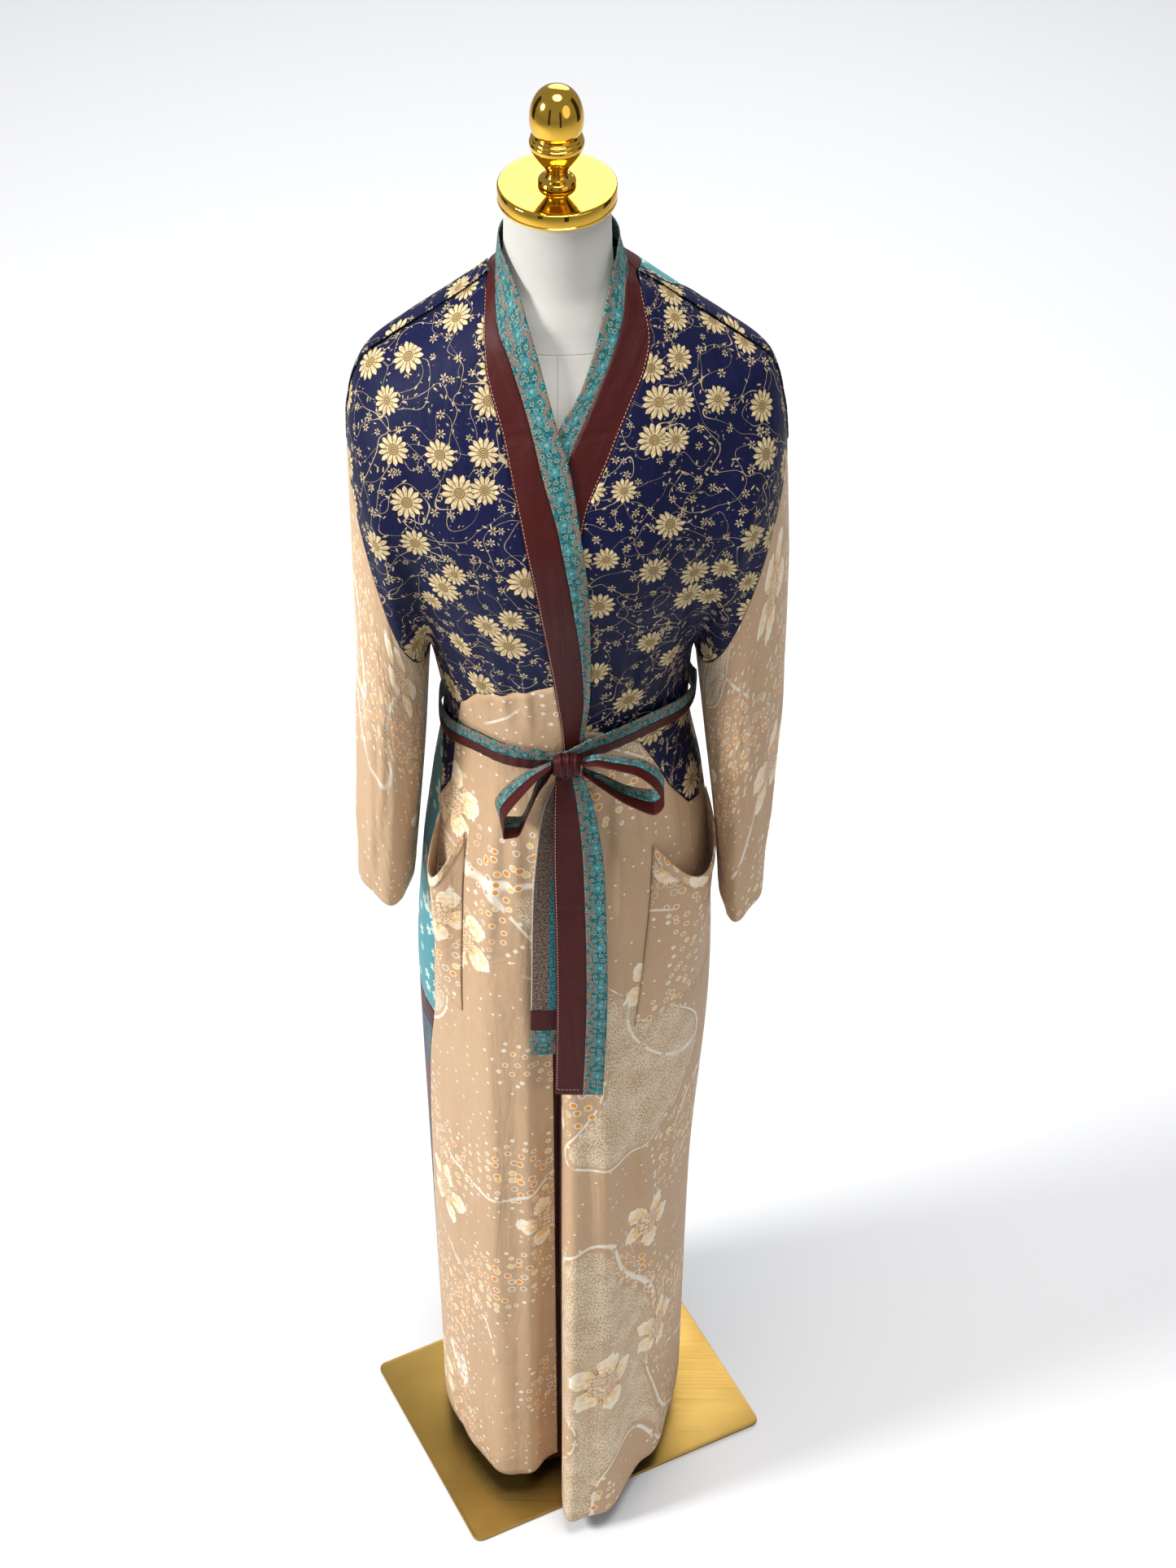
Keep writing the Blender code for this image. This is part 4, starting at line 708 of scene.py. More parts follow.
def lay_flat(sheet, rows, columns):
    """Unrolls a sheet as it was cut, in metres and upright, into its print's coordinates."""
    bpy.context.view_layer.objects.active = sheet
    sheet.select_set(True)
    bpy.ops.object.mode_set(mode="EDIT")
    bpy.ops.mesh.select_all(action="SELECT")
    bpy.ops.uv.unwrap(method="CONFORMAL", margin=0.0)
    bpy.ops.object.mode_set(mode="OBJECT")
    sheet.select_set(False)
    mesh = sheet.data
    flat = np.empty(len(mesh.loops) * 2)
    mesh.uv_layers["cut"].data.foreach_get("uv", flat)
    flat = flat.reshape(-1, 2)
    corners = np.empty(len(mesh.loops), int)
    mesh.loops.foreach_get("vertex_index", corners)
    places = np.zeros((len(mesh.vertices), 2))
    places[corners] = flat
    quads = corners.reshape(-1, 4)
    one, two = places[quads[:, 2]] - places[quads[:, 0]], places[quads[:, 3]] - places[quads[:, 1]]
    area = abs(np.sum(one[:, 0] * two[:, 1] - one[:, 1] * two[:, 0])) / 2
    places *= math.sqrt(sum(face.area for face in mesh.polygons) / area)
    grid = places.reshape(rows, columns, 2)
    up = grid[0, columns // 2] - grid[-1, columns // 2]
    up /= np.linalg.norm(up)
    return np.stack((grid[..., 0] * up[1] - grid[..., 1] * up[0], grid @ up), -1)


def strip_layout(points):
    """How far each point of a strip lies across it and along it, in metres."""
    across = np.linalg.norm(np.diff(points, axis=1), axis=-1)
    along = np.linalg.norm(np.diff(points, axis=0), axis=-1).mean(1)
    across = np.concatenate((np.zeros((len(points), 1)), np.cumsum(across, axis=1)), 1)
    along = np.concatenate(((0.0,), np.cumsum(along)))
    return np.stack((across, np.broadcast_to(along[:, None], across.shape)), -1)


def cloth(name, cad_nodes, finish, slot, surface, a, b, lift=0.0, tube=False, strip=False, held="hung",
          rests_on=("linen_dress_form",)):
    """A sheet of cloth over a grid of places (a, b) of a surface, with its print laid out flat on it."""
    points, normal = facing(surface, a, b)
    points = points + normal * np.broadcast_to(lift, points.shape[:2])[..., None]
    rows, columns = points.shape[:2]
    corner = np.arange(rows * columns).reshape(rows, columns)
    quads = np.stack((corner[:-1, :-1], corner[:-1, 1:], corner[1:, 1:], corner[1:, :-1]), -1)
    quads = quads.reshape(-1, 4)
    diagonals = (points[1:, 1:] - points[:-1, :-1], points[1:, :-1] - points[:-1, 1:])
    if np.sum(np.cross(*diagonals) * normal[:-1, :-1]) < 0:
        quads = quads[:, ::-1]
    mesh = bpy.data.meshes.new(name)
    mesh.from_pydata(points.reshape(-1, 3).tolist(), [], quads.tolist())
    mesh.uv_layers.new(name="cut")
    sheet = bpy.data.objects.new(name, mesh)
    bpy.context.scene.collection.objects.link(sheet)
    layout = strip_layout(points) if strip or tube else lay_flat(sheet, rows, columns)
    layout = layout - layout.reshape(-1, 2).min(0) + np.array(CUT_FROM.get(name, (0.0, 0.0)))
    corners = np.empty(len(mesh.loops), int)
    mesh.loops.foreach_get("vertex_index", corners)
    mesh.uv_layers["cut"].data.foreach_set("uv", layout.reshape(-1, 2)[corners].reshape(-1))
    bpy.context.view_layer.objects.active = sheet
    if tube:
        closing = sheet.modifiers.new("Seam", "WELD")
        closing.merge_threshold = 1e-6
    wall = sheet.modifiers.new("Thickness", "SOLIDIFY")
    wall.thickness = CLOTH
    wall.offset = 0.0
    apply_all(sheet)
    mesh.shade_smooth()
    finish_piece(sheet, name, finish, slot, *cad_nodes)
    return sheet


def stitches(name, finish, slot, surface, a, b, lift):
    """A row of stitches along a line of places (a, b), lying on the cloth."""
    points, normal = facing(surface, a, b)
    points = points + normal * (lift + CLOTH / 2 + THREAD_WIDTH / 3)
    run = np.concatenate(((0.0,), np.cumsum(np.linalg.norm(np.diff(points, axis=0), axis=1))))
    middles = np.arange(THREAD_PITCH / 2, run[-1] - THREAD_LENGTH / 2, THREAD_PITCH)

    def at(places, values):
        """Values at some lengths along the line."""
        return np.stack([np.interp(places, run, values[:, i]) for i in range(3)], -1)

    first, last = at(middles - THREAD_LENGTH / 2, points), at(middles + THREAD_LENGTH / 2, points)
    along = (last - first) / np.linalg.norm(last - first, axis=1, keepdims=True)
    up = at(middles, normal)
    side = np.cross(along, up)
    verts, faces = [], []
    for start, end, way, high, wide in zip(first, last, along, up, side):
        base = len(verts)
        verts.append(start)
        for share in (0.22, 0.78):
            middle = start + (end - start) * share
            verts += [middle + THREAD_WIDTH * (high * math.cos(t) + wide * math.sin(t))
                      for t in (0.0, math.pi / 2, math.pi, 3 * math.pi / 2)]
        verts.append(end)
        for i in range(4):
            n = (i + 1) % 4
            faces += [(base, base + 1 + n, base + 1 + i), (base + 9, base + 5 + i, base + 5 + n),
                      (base + 1 + i, base + 1 + n, base + 5 + n, base + 5 + i)]
    mesh = bpy.data.meshes.new(name)
    mesh.from_pydata([tuple(v) for v in verts], [], faces)
    row = bpy.data.objects.new(name, mesh)
    bpy.context.scene.collection.objects.link(row)
    bpy.context.view_layer.objects.active = row
    row.select_set(True)
    bpy.ops.object.mode_set(mode="EDIT")
    bpy.ops.mesh.select_all(action="SELECT")
    bpy.ops.mesh.normals_make_consistent(inside=False)
    bpy.ops.object.mode_set(mode="OBJECT")
    mesh.shade_smooth()
    return finish_piece(row, name, finish, slot)


def on_cut(tree):
    """Places on the cloth as it was cut, in metres."""
    return node("ShaderNodeUVMap", {}, tree, uv_map="cut").outputs[0]


def inside(value, soft):
    """1 where a value is above 0 and 0 where it is below, with a soft edge."""
    return maths("MULTIPLY_ADD", value, 1 / soft, 0.5, clamp=True)


def below(value, limit, soft):
    """1 where a value is below a limit, with a soft edge."""
    return inside(maths("SUBTRACT", limit, value), soft)


def above(value, limit, soft):
    """1 where a value is above a limit, with a soft edge."""
    return inside(maths("SUBTRACT", value, limit), soft)


def scaled(value, by, plus):
    """A value times one thing, plus another."""
    return maths("MULTIPLY_ADD", value, by, plus)


def stretched(place, size):
    """A place with each of its parts stretched."""
    return node("ShaderNodeMapping", {"Vector": place, "Scale": size}).outputs[0]


def times(*values):
    """A product."""
    result = values[0]
    for value in values[1:]:
        result = maths("MULTIPLY", result, value)
    return result


def scatter(place, cell, randomness=0.9, shift=0.0):
    """Places strewn one to a cell: the distance from the nearest, the turn round it, and its chances."""
    spot = vector("MULTIPLY_ADD", place, (1 / cell,) * 3, (shift, shift * 1.7, 0.0))
    cells = node("ShaderNodeTexVoronoi", {"Vector": spot, "Scale": 1.0, "Randomness": randomness},
                 voronoi_dimensions="2D")
    x, y, z = parts(vector("SUBTRACT", spot, cells.outputs["Position"]))
    distance = times(maths("SQRT", scaled(x, x, times(y, y))), cell)
    chances = node("ShaderNodeSeparateColor", {0: cells.outputs["Color"]}).outputs
    turn = scaled(chances[2], 6.283, maths("ARCTAN2", y, x))
    return distance, turn, chances


def petals(distance, turn, radius, count, waist, point):
    """A flower's cover, and how near a place is to the middle of its petal."""
    wave = minus(1.0, maths("ABSOLUTE", maths("SINE", times(turn, count / 2))))
    reach = scaled(maths("POWER", wave, point), 1 - waist, waist)
    edge = times(reach, radius)
    return below(distance, edge, 0.0007), wave


def woven(made, tree, shader, colour, place, weave=0.5, crumple=1.0):
    """A cloth's finish, from its colour, its weave and its small soft creases."""
    tree.links.new(colour, shader.inputs["Base Color"])
    fine = clouds(place, 1400.0, 2.0, 0.7)
    long_way = stretched(place, (30.0, 4.5, 1.0))
    soft = maths("ADD", clouds(place, 16.0, 3.0, 0.5, 0.8), clouds(long_way, 1.0, 3.0, 0.55, 0.6))
    height = scaled(fine, weave * 0.1, times(soft, crumple))
    relief(tree, shader, height, 0.8, 0.0055)
    return made


def daisy_print():
    """Navy satin printed with cream daisies, small flowers, leaves and thin vines."""
    made, tree, shader = new_finish("navy_daisy_print", Roughness=0.55, Specular_IOR_Level=0.12)
    place = on_cut(tree)
    ground = blend(clouds(place, 9.0), (0.0035, 0.005, 0.027), (0.006, 0.008, 0.046))
    cream = blend(spread(clouds(place, 300.0, 3.0), 0.35, 0.65, 0.0, 1.0), (0.44, 0.32, 0.15),
                  (0.74, 0.59, 0.34))
    fields = [clouds(vector("ADD", place, (far, 0, 0)), scale, 0.0, 0.5,
                     0.4) for far, scale in ((0.0, 26.0), (3.0, 34.0))]
    vines = [away_from(0.5, field) for field in fields]
    near = maths("MINIMUM", *vines)
    vine = below(near, 0.0030, 0.003)
    distance, turn, chances = scatter(place, 0.0056, 1.0, 7.0)
    long_ = times(distance, maths("COSINE", turn))
    short = times(distance, maths("SINE", turn), 3.2)
    blade = maths("SQRT", scaled(long_, long_, times(short, short)))
    leaf = below(blade, times(chances[0], 0.0030), 0.0006)
    leaf = times(leaf, over(chances[1], 0.45), below(near, 0.075, 0.03))
    colour = blend(times(maths("MAXIMUM", vine, leaf), 0.72), ground, cream)
    distance, turn, chances = scatter(place, 0.0165, 0.9, 3.0)
    radius = times(scaled(chances[0], 0.0016, 0.0032), over(chances[1], 0.42))
    small, wave = petals(distance, turn, radius, 6, 0.45, 0.7)
    eye = below(distance, 0.0010, 0.0006)
    small = times(small, scaled(eye, -0.8, 1.0), above(wave, 0.28, 0.2))
    colour = blend(times(small, 0.8), colour, cream)
    distance, turn, chances = scatter(place, 0.0400, 0.72)
    radius = times(scaled(chances[0], 0.0058, 0.0120), over(chances[1], 0.28))
    flower, wave = petals(distance, turn, radius, 13, 0.70, 0.42)
    halo = below(distance, scaled(radius, 0.92, 0.0010), 0.001)
    colour = blend(halo, colour, ground)
    outer = below(times(radius, 0.34), distance, 0.0006)
    parting = times(below(wave, 0.10, 0.05), outer)
    vein = above(wave, 0.88, 0.06)
    vein = times(vein, below(distance, times(radius, 0.62), 0.001), 0.7)
    parting = maths("MAXIMUM", parting, times(vein, outer))
    rings = maths("SINE", times(distance, 2 * math.pi / 0.0019))
    rings = times(inside(rings, 1.2), minus(1.0, outer))
    tint = blend(minus(1.0, outer), cream, (0.44, 0.30, 0.12))
    tint = blend(times(maths("MAXIMUM", parting, rings), 0.8), tint, (0.035, 0.025, 0.03))
    colour = blend(flower, colour, tint)
    return woven(made, tree, shader, colour, place, 0.35, 0.8)


def thread(name, colour):
    """Twisted sewing thread."""
    made, tree, shader = new_finish(name, Roughness=0.55, Sheen_Weight=0.3)
    twist = clouds(on_object(tree), 900.0)
    tree.links.new(blend(twist, [c * 0.7 for c in colour], colour), shader.inputs["Base Color"])
    return made


NAVY = daisy_print()
SIDE_SIGNS = (("right", -1, "over"), ("left", 1, "under"))
for side, sign, layer in SIDE_SIGNS:
    edges = band_stations(side)
    top = ridge(sign, edges["outer_z"][0] - 2 * GAP, YOKE_COLUMNS)
    inner = beside(np.stack((edges["outer_x"][:YOKE_ROWS], edges["outer_z"][:YOKE_ROWS]), -1), sign * GAP)
    inner[0] = top[0]
    side_z = np.linspace(UNDERARM_Z, YOKE_FOOT[side], YOKE_SIDE_ROWS + 1)[1:]
    outer = np.vstack((armhole(sign, np.linspace(0, 180, YOKE_ROWS - YOKE_SIDE_ROWS)),
                       np.stack((side_x(side, side_z), side_z), -1)))
    places = patch(top, yoke_foot(side, sign, YOKE_COLUMNS), inner, outer)
    cloth("navy_yoke_" + side, ("yoke_" + side,), NAVY, "navy_cotton", front(layer), places[..., 0],
          places[..., 1])


# The collar band is two strips seamed together: a turquoise one along the neck, with a printed ogee
# border, and a maroon satin one outside it. Pink thread holds the maroon one down on the yokes.
BAND_MAROON = 0.040
BAND_TURQUOISE = 0.025
BELT_END_MAROON = 0.020
BELT_END_TURQUOISE = 0.013
BAND_WIDENS_OVER = 0.30
STRIP_COLUMNS = 13
TOPSTITCH_IN = 0.05
BORDER_REPEAT = 0.046
BORDER_MIDDLE = 0.0125
BORDER_SWING = 0.0075
SKIRT_ROWS = 130
NECK_TURNS = np.linspace(0, 180, 49)
NECK_BAND = table("turn inner_z seam_z outer_z", (
    (0.0, 1.531, 1.505, 1.4945), (45.0, 1.532, 1.507, 1.485), (90.0, 1.532, 1.507, 1.480)))


def back(x, z):
    """The surface of the back, held half a gap clear of the fronts."""
    return robe(x, z, "back") + np.array((0.0, GAP / 2, 0.0))


def skirt_rows(side, hem):
    """A skirt front's row heights, at its free edge and at its side seam."""
    end = np.linspace(YOKE_FOOT[side] - GAP, HEM_Z_SIDE, SKIRT_ROWS)
    start_top = band_stations(side)["outer_z"][YOKE_ROWS - 1] - GAP
    return hem + (end - HEM_Z_SIDE) * (start_top - hem) / (end[0] - HEM_Z_SIDE), end


def band_edges(z):
    """The left front's band below the belt: its free edge, its seam and its outer edge, in x."""
    free = column(SKIRT_EDGE, "left", z)
    seam, outer = np.empty_like(z), np.empty_like(z)
    share = ease((BELT_Z - z) / BAND_WIDENS_OVER)
    for i, height in enumerate(z):
        x = np.linspace(free[i], free[i] + 0.10, 400)
        line = robe(x, np.full_like(x, height), "under")
        run = np.concatenate(((0.0,), np.cumsum(np.linalg.norm(np.diff(line, axis=0), axis=1))))
        turquoise = BELT_END_TURQUOISE + (BAND_TURQUOISE - BELT_END_TURQUOISE) * share[i]
        maroon = BELT_END_MAROON + (BAND_MAROON - BELT_END_MAROON) * share[i]
        seam[i] = np.interp(turquoise, run, x)
        outer[i] = np.interp(turquoise + maroon, run, x)
    return free, seam, outer


def neck_height(turns, edge):
    """The height of one of the band's edges behind the neck, from one side to the other."""
    return smooth(90 - np.abs(turns - 90), NECK_BAND["turn"], NECK_BAND[edge])


def neck_x(turns, z):
    """Places round the back of the neck, from the wearer's right to the left."""
    width = np.where(turns > 90, column(BODY, "left", z), column(BODY, "right", z))
    return -width * np.cos(np.radians(turns))


def border_print():
    """Turquoise cloth with medallions between two crossing wavy lines, and small rings."""
    made, tree, shader = new_finish("turquoise_border_print", Roughness=0.62, Specular_IOR_Level=0.25)
    place = on_cut(tree)
    x, y, z = parts(place)
    across = minus(x, BORDER_MIDDLE)
    along = times(y, 2 * math.pi / BORDER_REPEAT)
    grain = clouds(place, 520.0, 3.0, 0.7)
    ground = blend(spread(grain, 0.40, 0.62, 0.0, 1.0), (0.003, 0.036, 0.044), (0.030, 0.21, 0.215))
    distance, turn, chances = scatter(place, 0.0062, 0.55, 2.0)
    ring = away_from(0.0015, distance)
    ring = below(ring, 0.0004, 0.0005)
    colour = blend(times(ring, 0.75), ground, (0.34, 0.30, 0.22))
    for start in (0.0, math.pi):
        swing = times(maths("COSINE", maths("ADD", along, start)), BORDER_SWING)
        away = away_from(maths("ADD", swing, 0.0035), maths("ABSOLUTE", across))
        colour = blend(below(away, 0.0019, 0.0007), colour,
                       blend(grain, (0.060, 0.040, 0.032), (0.30, 0.205, 0.155)))
    step = times(minus(maths("FRACT", times(y, 2 / BORDER_REPEAT)), 0.5), BORDER_REPEAT / 2)
    far = maths("SQRT", scaled(across, across, times(step, step)))
    bloom, wave = petals(far, maths("ARCTAN2", step, across), 0.0068, 8, 0.62, 0.8)
    tint = blend(spread(grain, 0.38, 0.60, 0.0, 1.0), (0.006, 0.085, 0.105), (0.040, 0.29, 0.31))
    tint = blend(below(far, 0.0016, 0.0008), tint, (0.20, 0.32, 0.28))
    colour = blend(times(bloom, 0.9), colour, tint)
    return woven(made, tree, shader, colour, place, 0.5, 0.8)


def maroon_satin():
    """Plain maroon satin with fine ribs."""
    made, tree, shader = new_finish("maroon_satin", Roughness=0.48, Specular_IOR_Level=0.16)
    place = on_cut(tree)
    ribs = clouds(stretched(place, (900.0, 60.0, 1.0)), 1.0, 2.0)
    tone = scaled(ribs, 0.5, times(clouds(place, 14.0), 0.5))
    colour = blend(tone, (0.034, 0.0040, 0.0038), (0.072, 0.010, 0.0085))
    return woven(made, tree, shader, colour, place, 0.4, 0.9)


BORDER, MAROON = border_print(), maroon_satin()
STRIP_FINISH = {"turquoise": (BORDER, "turquoise_print"), "maroon": (MAROON, "maroon_satin")}
PINK_THREAD = thread("pink_thread", (0.62, 0.30, 0.24))
for side, sign, layer in SIDE_SIGNS:
    edges = band_stations(side)
    if side == "left":
        low = skirt_rows(side, HEM_Z_LEFT)[0]
        low = low[low < 1.035]
        for edge, x in zip(("inner", "seam", "outer"), band_edges(low)):
            edges[edge + "_x"] = np.append(edges[edge + "_x"], x)
            edges[edge + "_z"] = np.append(edges[edge + "_z"], low)
    for colour, near, far in (("turquoise", "inner", "seam"), ("maroon", "seam", "outer")):
        share = np.linspace(0, 1, STRIP_COLUMNS)
        far_x = edges[far + "_x"] - sign * (GAP if far == "seam" else 0.0)
        x = edges[near + "_x"][:, None] * (1 - share) + far_x[:, None] * share
        z = edges[near + "_z"][:, None] * (1 - share) + edges[far + "_z"][:, None] * share
        cloth("%s_band_%s" % (colour, side), ("band_%s_%s" % (colour, side),), *STRIP_FINISH[colour],
              front(layer), x, z, strip=True)
    line = slice(1, None if side == "right" else YOKE_ROWS + BAND_END_ROWS - 1)
    x, z = (edges["outer_" + axis][line] * (1 - TOPSTITCH_IN) + edges["seam_" + axis][line] * TOPSTITCH_IN
            for axis in "xz")
    stitches("band_topstitch_" + side, PINK_THREAD, "maroon_satin", front(layer), x, z, 0.0)
for colour, near, far in (("turquoise", "inner_z", "seam_z"), ("maroon", "seam_z", "outer_z")):
    share = np.linspace(0, 1, STRIP_COLUMNS)
    z = (neck_height(NECK_TURNS, near)[:, None] * (1 - share)
         + (neck_height(NECK_TURNS, far)[:, None] + 2 * GAP) * share)
    cloth("%s_band_neck" % colour, ("band_%s_neck" % colour,), *STRIP_FINISH[colour],
          lambda x, h: back(x, h) + np.array((0.0, GAP, 0.0)), neck_x(NECK_TURNS[:, None], z), z,
          strip=True)


# The two skirt fronts are tan crepe, printed with dots, ringed spots, big pale flowers and speckled
# grounds between curved white cords. They hang in soft upright folds, the right one over the left.
SKIRT_COLUMNS = 150


def skirt_start(side, z):
    """Where a skirt front begins: beside the band above the belt, at its fold or band below it."""
    edges = band_stations(side)
    above = np.interp(-z, -edges["outer_z"], edges["outer_x"])
    if side == "right":
        return np.where(z > edges["outer_z"][-1] - 0.005, above, column(SKIRT_EDGE, "right", z)) - GAP
    return np.where(z > 1.04, above, band_edges(z)[2]) + 2 * GAP


def dotted_print():
    """Tan crepe with speckled grounds, cords, dots and large flowers."""
    made, tree, shader = new_finish("tan_dotted_print", Roughness=0.6, Sheen_Weight=0.06,
                                    Sheen_Roughness=0.4, Specular_IOR_Level=0.25)
    place = on_cut(tree)
    threads = clouds(stretched(place, (1500.0, 90.0, 1.0)), 1.0, 1.0)
    tan = blend(scaled(threads, 0.6, times(clouds(place, 7.0), 0.4)), (0.410, 0.262, 0.145),
                (0.610, 0.410, 0.248))
    white, orange = (0.80, 0.74, 0.62), (0.70, 0.27, 0.025)
    yellow = (0.78, 0.55, 0.20)
    field = clouds(vector("ADD", place, (0.35, 0.62, 0.0)), 5.2, 0.0, 0.5, 0.5)
    # speckled grounds
    speckle = clouds(stretched(place, (600.0, 420.0, 1.0)), 1.0, 3.0, 0.7)
    zone = above(field, 0.640, 0.006)
    patchy = spread(clouds(place, 38.0, 3.0, 0.6), 0.35, 0.65, 0.54, 0.46)
    colour = blend(times(zone, 0.6), tan, (0.40, 0.26, 0.125))
    colour = blend(times(zone, below(patchy, speckle, 0.08), 0.8), colour, (0.80, 0.69, 0.52))
    # curved cords, broken here and there
    cord = away_from(0.622, field)
    cord = below(cord, 0.0050, 0.004)
    second = away_from(0.545, clouds(vector("ADD", place, (1.9, 0.4, 0.0)), 3.4, 0.0))
    second = times(below(second, 0.0030, 0.003), above(clouds(place, 6.0), 0.50, 0.04))
    broken = above(clouds(place, 55.0), 0.40, 0.06)
    colour = blend(times(maths("MAXIMUM", cord, second), broken, 0.9), colour, white)
    # dots, larger and ringed where they crowd
    crowd = spread(clouds(vector("ADD", place, (0.8, 0.25, 0.0)), 7.5, 0.0), 0.47, 0.62, 0.0, 1.0)
    free = minus(1.0, zone)
    distance, turn, chances = scatter(place, 0.0128, 0.75, 5.0)
    radius = times(scaled(crowd, 0.0028, 0.0013), below(chances[1], scaled(crowd, 1.6, 0.34), 0.02))
    dot = times(below(distance, radius, 0.0006), free)
    colour = blend(times(dot, 0.9), colour, white)
    core = below(distance, minus(radius, 0.0011), 0.0006)
    core = times(core, free, over(radius, 0.0026))
    tint = blend(above(chances[0], 0.55, 0.1), orange, yellow)
    tint = blend(over(chances[0], 0.78), tint, tan)
    colour = blend(core, colour, tint)
    # large flowers
    distance, turn, chances = scatter(place, 0.180, 0.75, 1.3)
    radius = times(scaled(chances[0], 0.012, 0.046), over(chances[1], 0.20))
    ragged = scaled(clouds(place, 95.0, 3.0, 0.6), 0.020, distance)
    flower, wave = petals(ragged, turn, radius, 5, 0.46, 0.22)
    inner = maths("DIVIDE", distance, maths("MAXIMUM", radius, 0.001))
    streak = clouds(place, 160.0, 3.0, 0.6)
    glow = times(spread(inner, 0.35, 0.90, 1.0, 0.0), spread(streak, 0.40, 0.58, 0.20, 1.0))
    petal = blend(glow, blend(streak, (0.76, 0.72, 0.58), (0.92, 0.90, 0.82)), (0.80, 0.42, 0.050))
    petal = blend(times(below(wave, 0.040, 0.03), 0.85), petal, (0.27, 0.17, 0.10))
    rim = below(maths("ADD", distance, 0.004), scaled(radius, 1.06, 0.0), 0.001)
    colour = blend(times(rim, 0.45), colour, tan)
    colour = blend(flower, colour, petal)
    disc = below(inner, 0.36, 0.03)
    disc = times(disc, over(radius, 0.01))
    distance, turn, chances = scatter(place, 0.0056, 0.5, 9.0)
    bead = blend(below(distance, 0.0021, 0.0005), tan, white)
    bead = blend(below(distance, 0.0014, 0.0005), bead, tint)
    colour = blend(disc, colour, bead)
    return woven(made, tree, shader, colour, place)


TAN = dotted_print()
for (side, sign, layer), hem in zip(SIDE_SIGNS, (HEM_Z_RIGHT, HEM_Z_LEFT)):
    start_z, end_z = skirt_rows(side, hem)
    seam = yoke_foot(side, sign, SKIRT_COLUMNS)
    top = beside(seam, -sign * GAP * np.linspace(1, 3, SKIRT_COLUMNS)[:, None])
    start = np.stack((skirt_start(side, start_z), start_z), -1)
    end = np.stack((side_x(side, end_z), end_z), -1)
    start[0], end[0] = top[0], top[-1]
    share = np.sin(np.linspace(0, 1, SKIRT_COLUMNS) * math.pi / 2)
    bottom = start[-1] + (end[-1] - start[-1]) * share[:, None]
    places = patch(top, bottom, start, end)
    cloth("tan_skirt_" + side, ("skirt_" + side,), TAN, "beige_print", front(layer), places[..., 0],
          places[..., 1])


# The right front's free edge is its band, turned under along the fold: maroon satin, then turquoise.
TURNED_UNDER = 0.0036
TURNED_COLUMNS = 24
edge_z = skirt_rows("right", HEM_Z_RIGHT)[0]
edge_z = edge_z[edge_z < 0.98][:, None]
edge_z[-1] += 0.003
fold_x = skirt_start("right", edge_z[:, 0])[:, None] - 0.001
for colour, near, far in (("maroon", 0.0, BAND_MAROON),
                          ("turquoise", BAND_MAROON + GAP, BAND_MAROON + BAND_TURQUOISE)):
    share = np.linspace(near, far, TURNED_COLUMNS)
    x = fold_x - share * (0.45 + 0.30 * ease((BELT_Z - edge_z) / 0.25))
    cloth("%s_edge_right" % colour, ("edge_%s_right" % colour,), *STRIP_FINISH[colour], front("over"), x,
          edge_z + 0 * x, lift=-TURNED_UNDER, strip=True)


# The back is pieced from five cloths: turquoise blossoms over the shoulders, red paisley down to the
# waist, the blossoms again round the hips, a maroon border, and dark teal patches down to the hem.
BACK_YOKE_TURN = 108.0
PATCH_SIZE = (0.118, 0.092)
BORDER_Z = (0.672, 0.645)
BACK_TURN = 269.75
BACK_COLUMNS = 220


def ring(turn, z, layer="over"):
    """Points of the body's ring below the underarm, by degrees from the front's middle."""
    angle = np.radians(turn)
    x = np.where(np.sin(angle) > 0, column(BODY, "left", z), column(BODY, "right", z)) * np.sin(angle)
    front_points = robe(x, z, layer if layer != "back" else "over")
    return np.where((np.cos(angle) > 0)[..., None], front_points, robe(x, z, "back"))


def blossom_print():
    """Turquoise cloth with small and large pale blossoms."""
    made, tree, shader = new_finish("turquoise_blossom_print", Roughness=0.6, Sheen_Weight=0.2,
                                    Specular_IOR_Level=0.3)
    place = on_cut(tree)
    colour = blend(clouds(place, 12.0), (0.012, 0.16, 0.19), (0.028, 0.30, 0.33))
    for cell, size, count, shift in ((0.021, 0.0062, 5, 2.0), (0.052, 0.0150, 5, 0.0)):
        distance, turn, chances = scatter(place, cell, 0.85, shift)
        radius = times(scaled(chances[0], 0.35, 0.75), size, over(chances[1], 0.30))
        flower, wave = petals(distance, turn, radius, count, 0.42, 0.45)
        tint = blend(spread(distance, 0.0, size, 0.0, 1.0), (0.30, 0.52, 0.50), (0.74, 0.78, 0.70))
        tint = blend(below(distance, size * 0.2, 0.0006), tint, (0.72, 0.40, 0.10))
        colour = blend(flower, colour, tint)
    return woven(made, tree, shader, colour, place)


def paisley_print():
    """Red cloth with layered drops and sprigs."""
    made, tree, shader = new_finish("red_paisley_print", Roughness=0.6, Sheen_Weight=0.2,
                                    Specular_IOR_Level=0.3)
    place = on_cut(tree)
    colour = blend(clouds(place, 14.0), (0.14, 0.022, 0.016), (0.23, 0.045, 0.028))
    distance, turn, chances = scatter(place, 0.034, 0.6)
    drop = scaled(maths("COSINE", turn), 0.42, 0.72)
    drop = times(drop, 0.0125)
    for share, tint in ((1.0, (0.46, 0.34, 0.20)), (0.82, (0.035, 0.09, 0.10)), (0.55, (0.40, 0.10, 0.05)),
                        (0.28, (0.55, 0.42, 0.24))):
        cover = below(distance, times(drop, share), 0.0007)
        colour = blend(cover, colour, tint)
    distance, turn, chances = scatter(place, 0.0085, 0.8, 4.0)
    sprig = below(distance, times(chances[0], 0.0016), 0.0006)
    colour = blend(times(sprig, 0.7), colour, (0.46, 0.34, 0.20))
    return woven(made, tree, shader, colour, place)


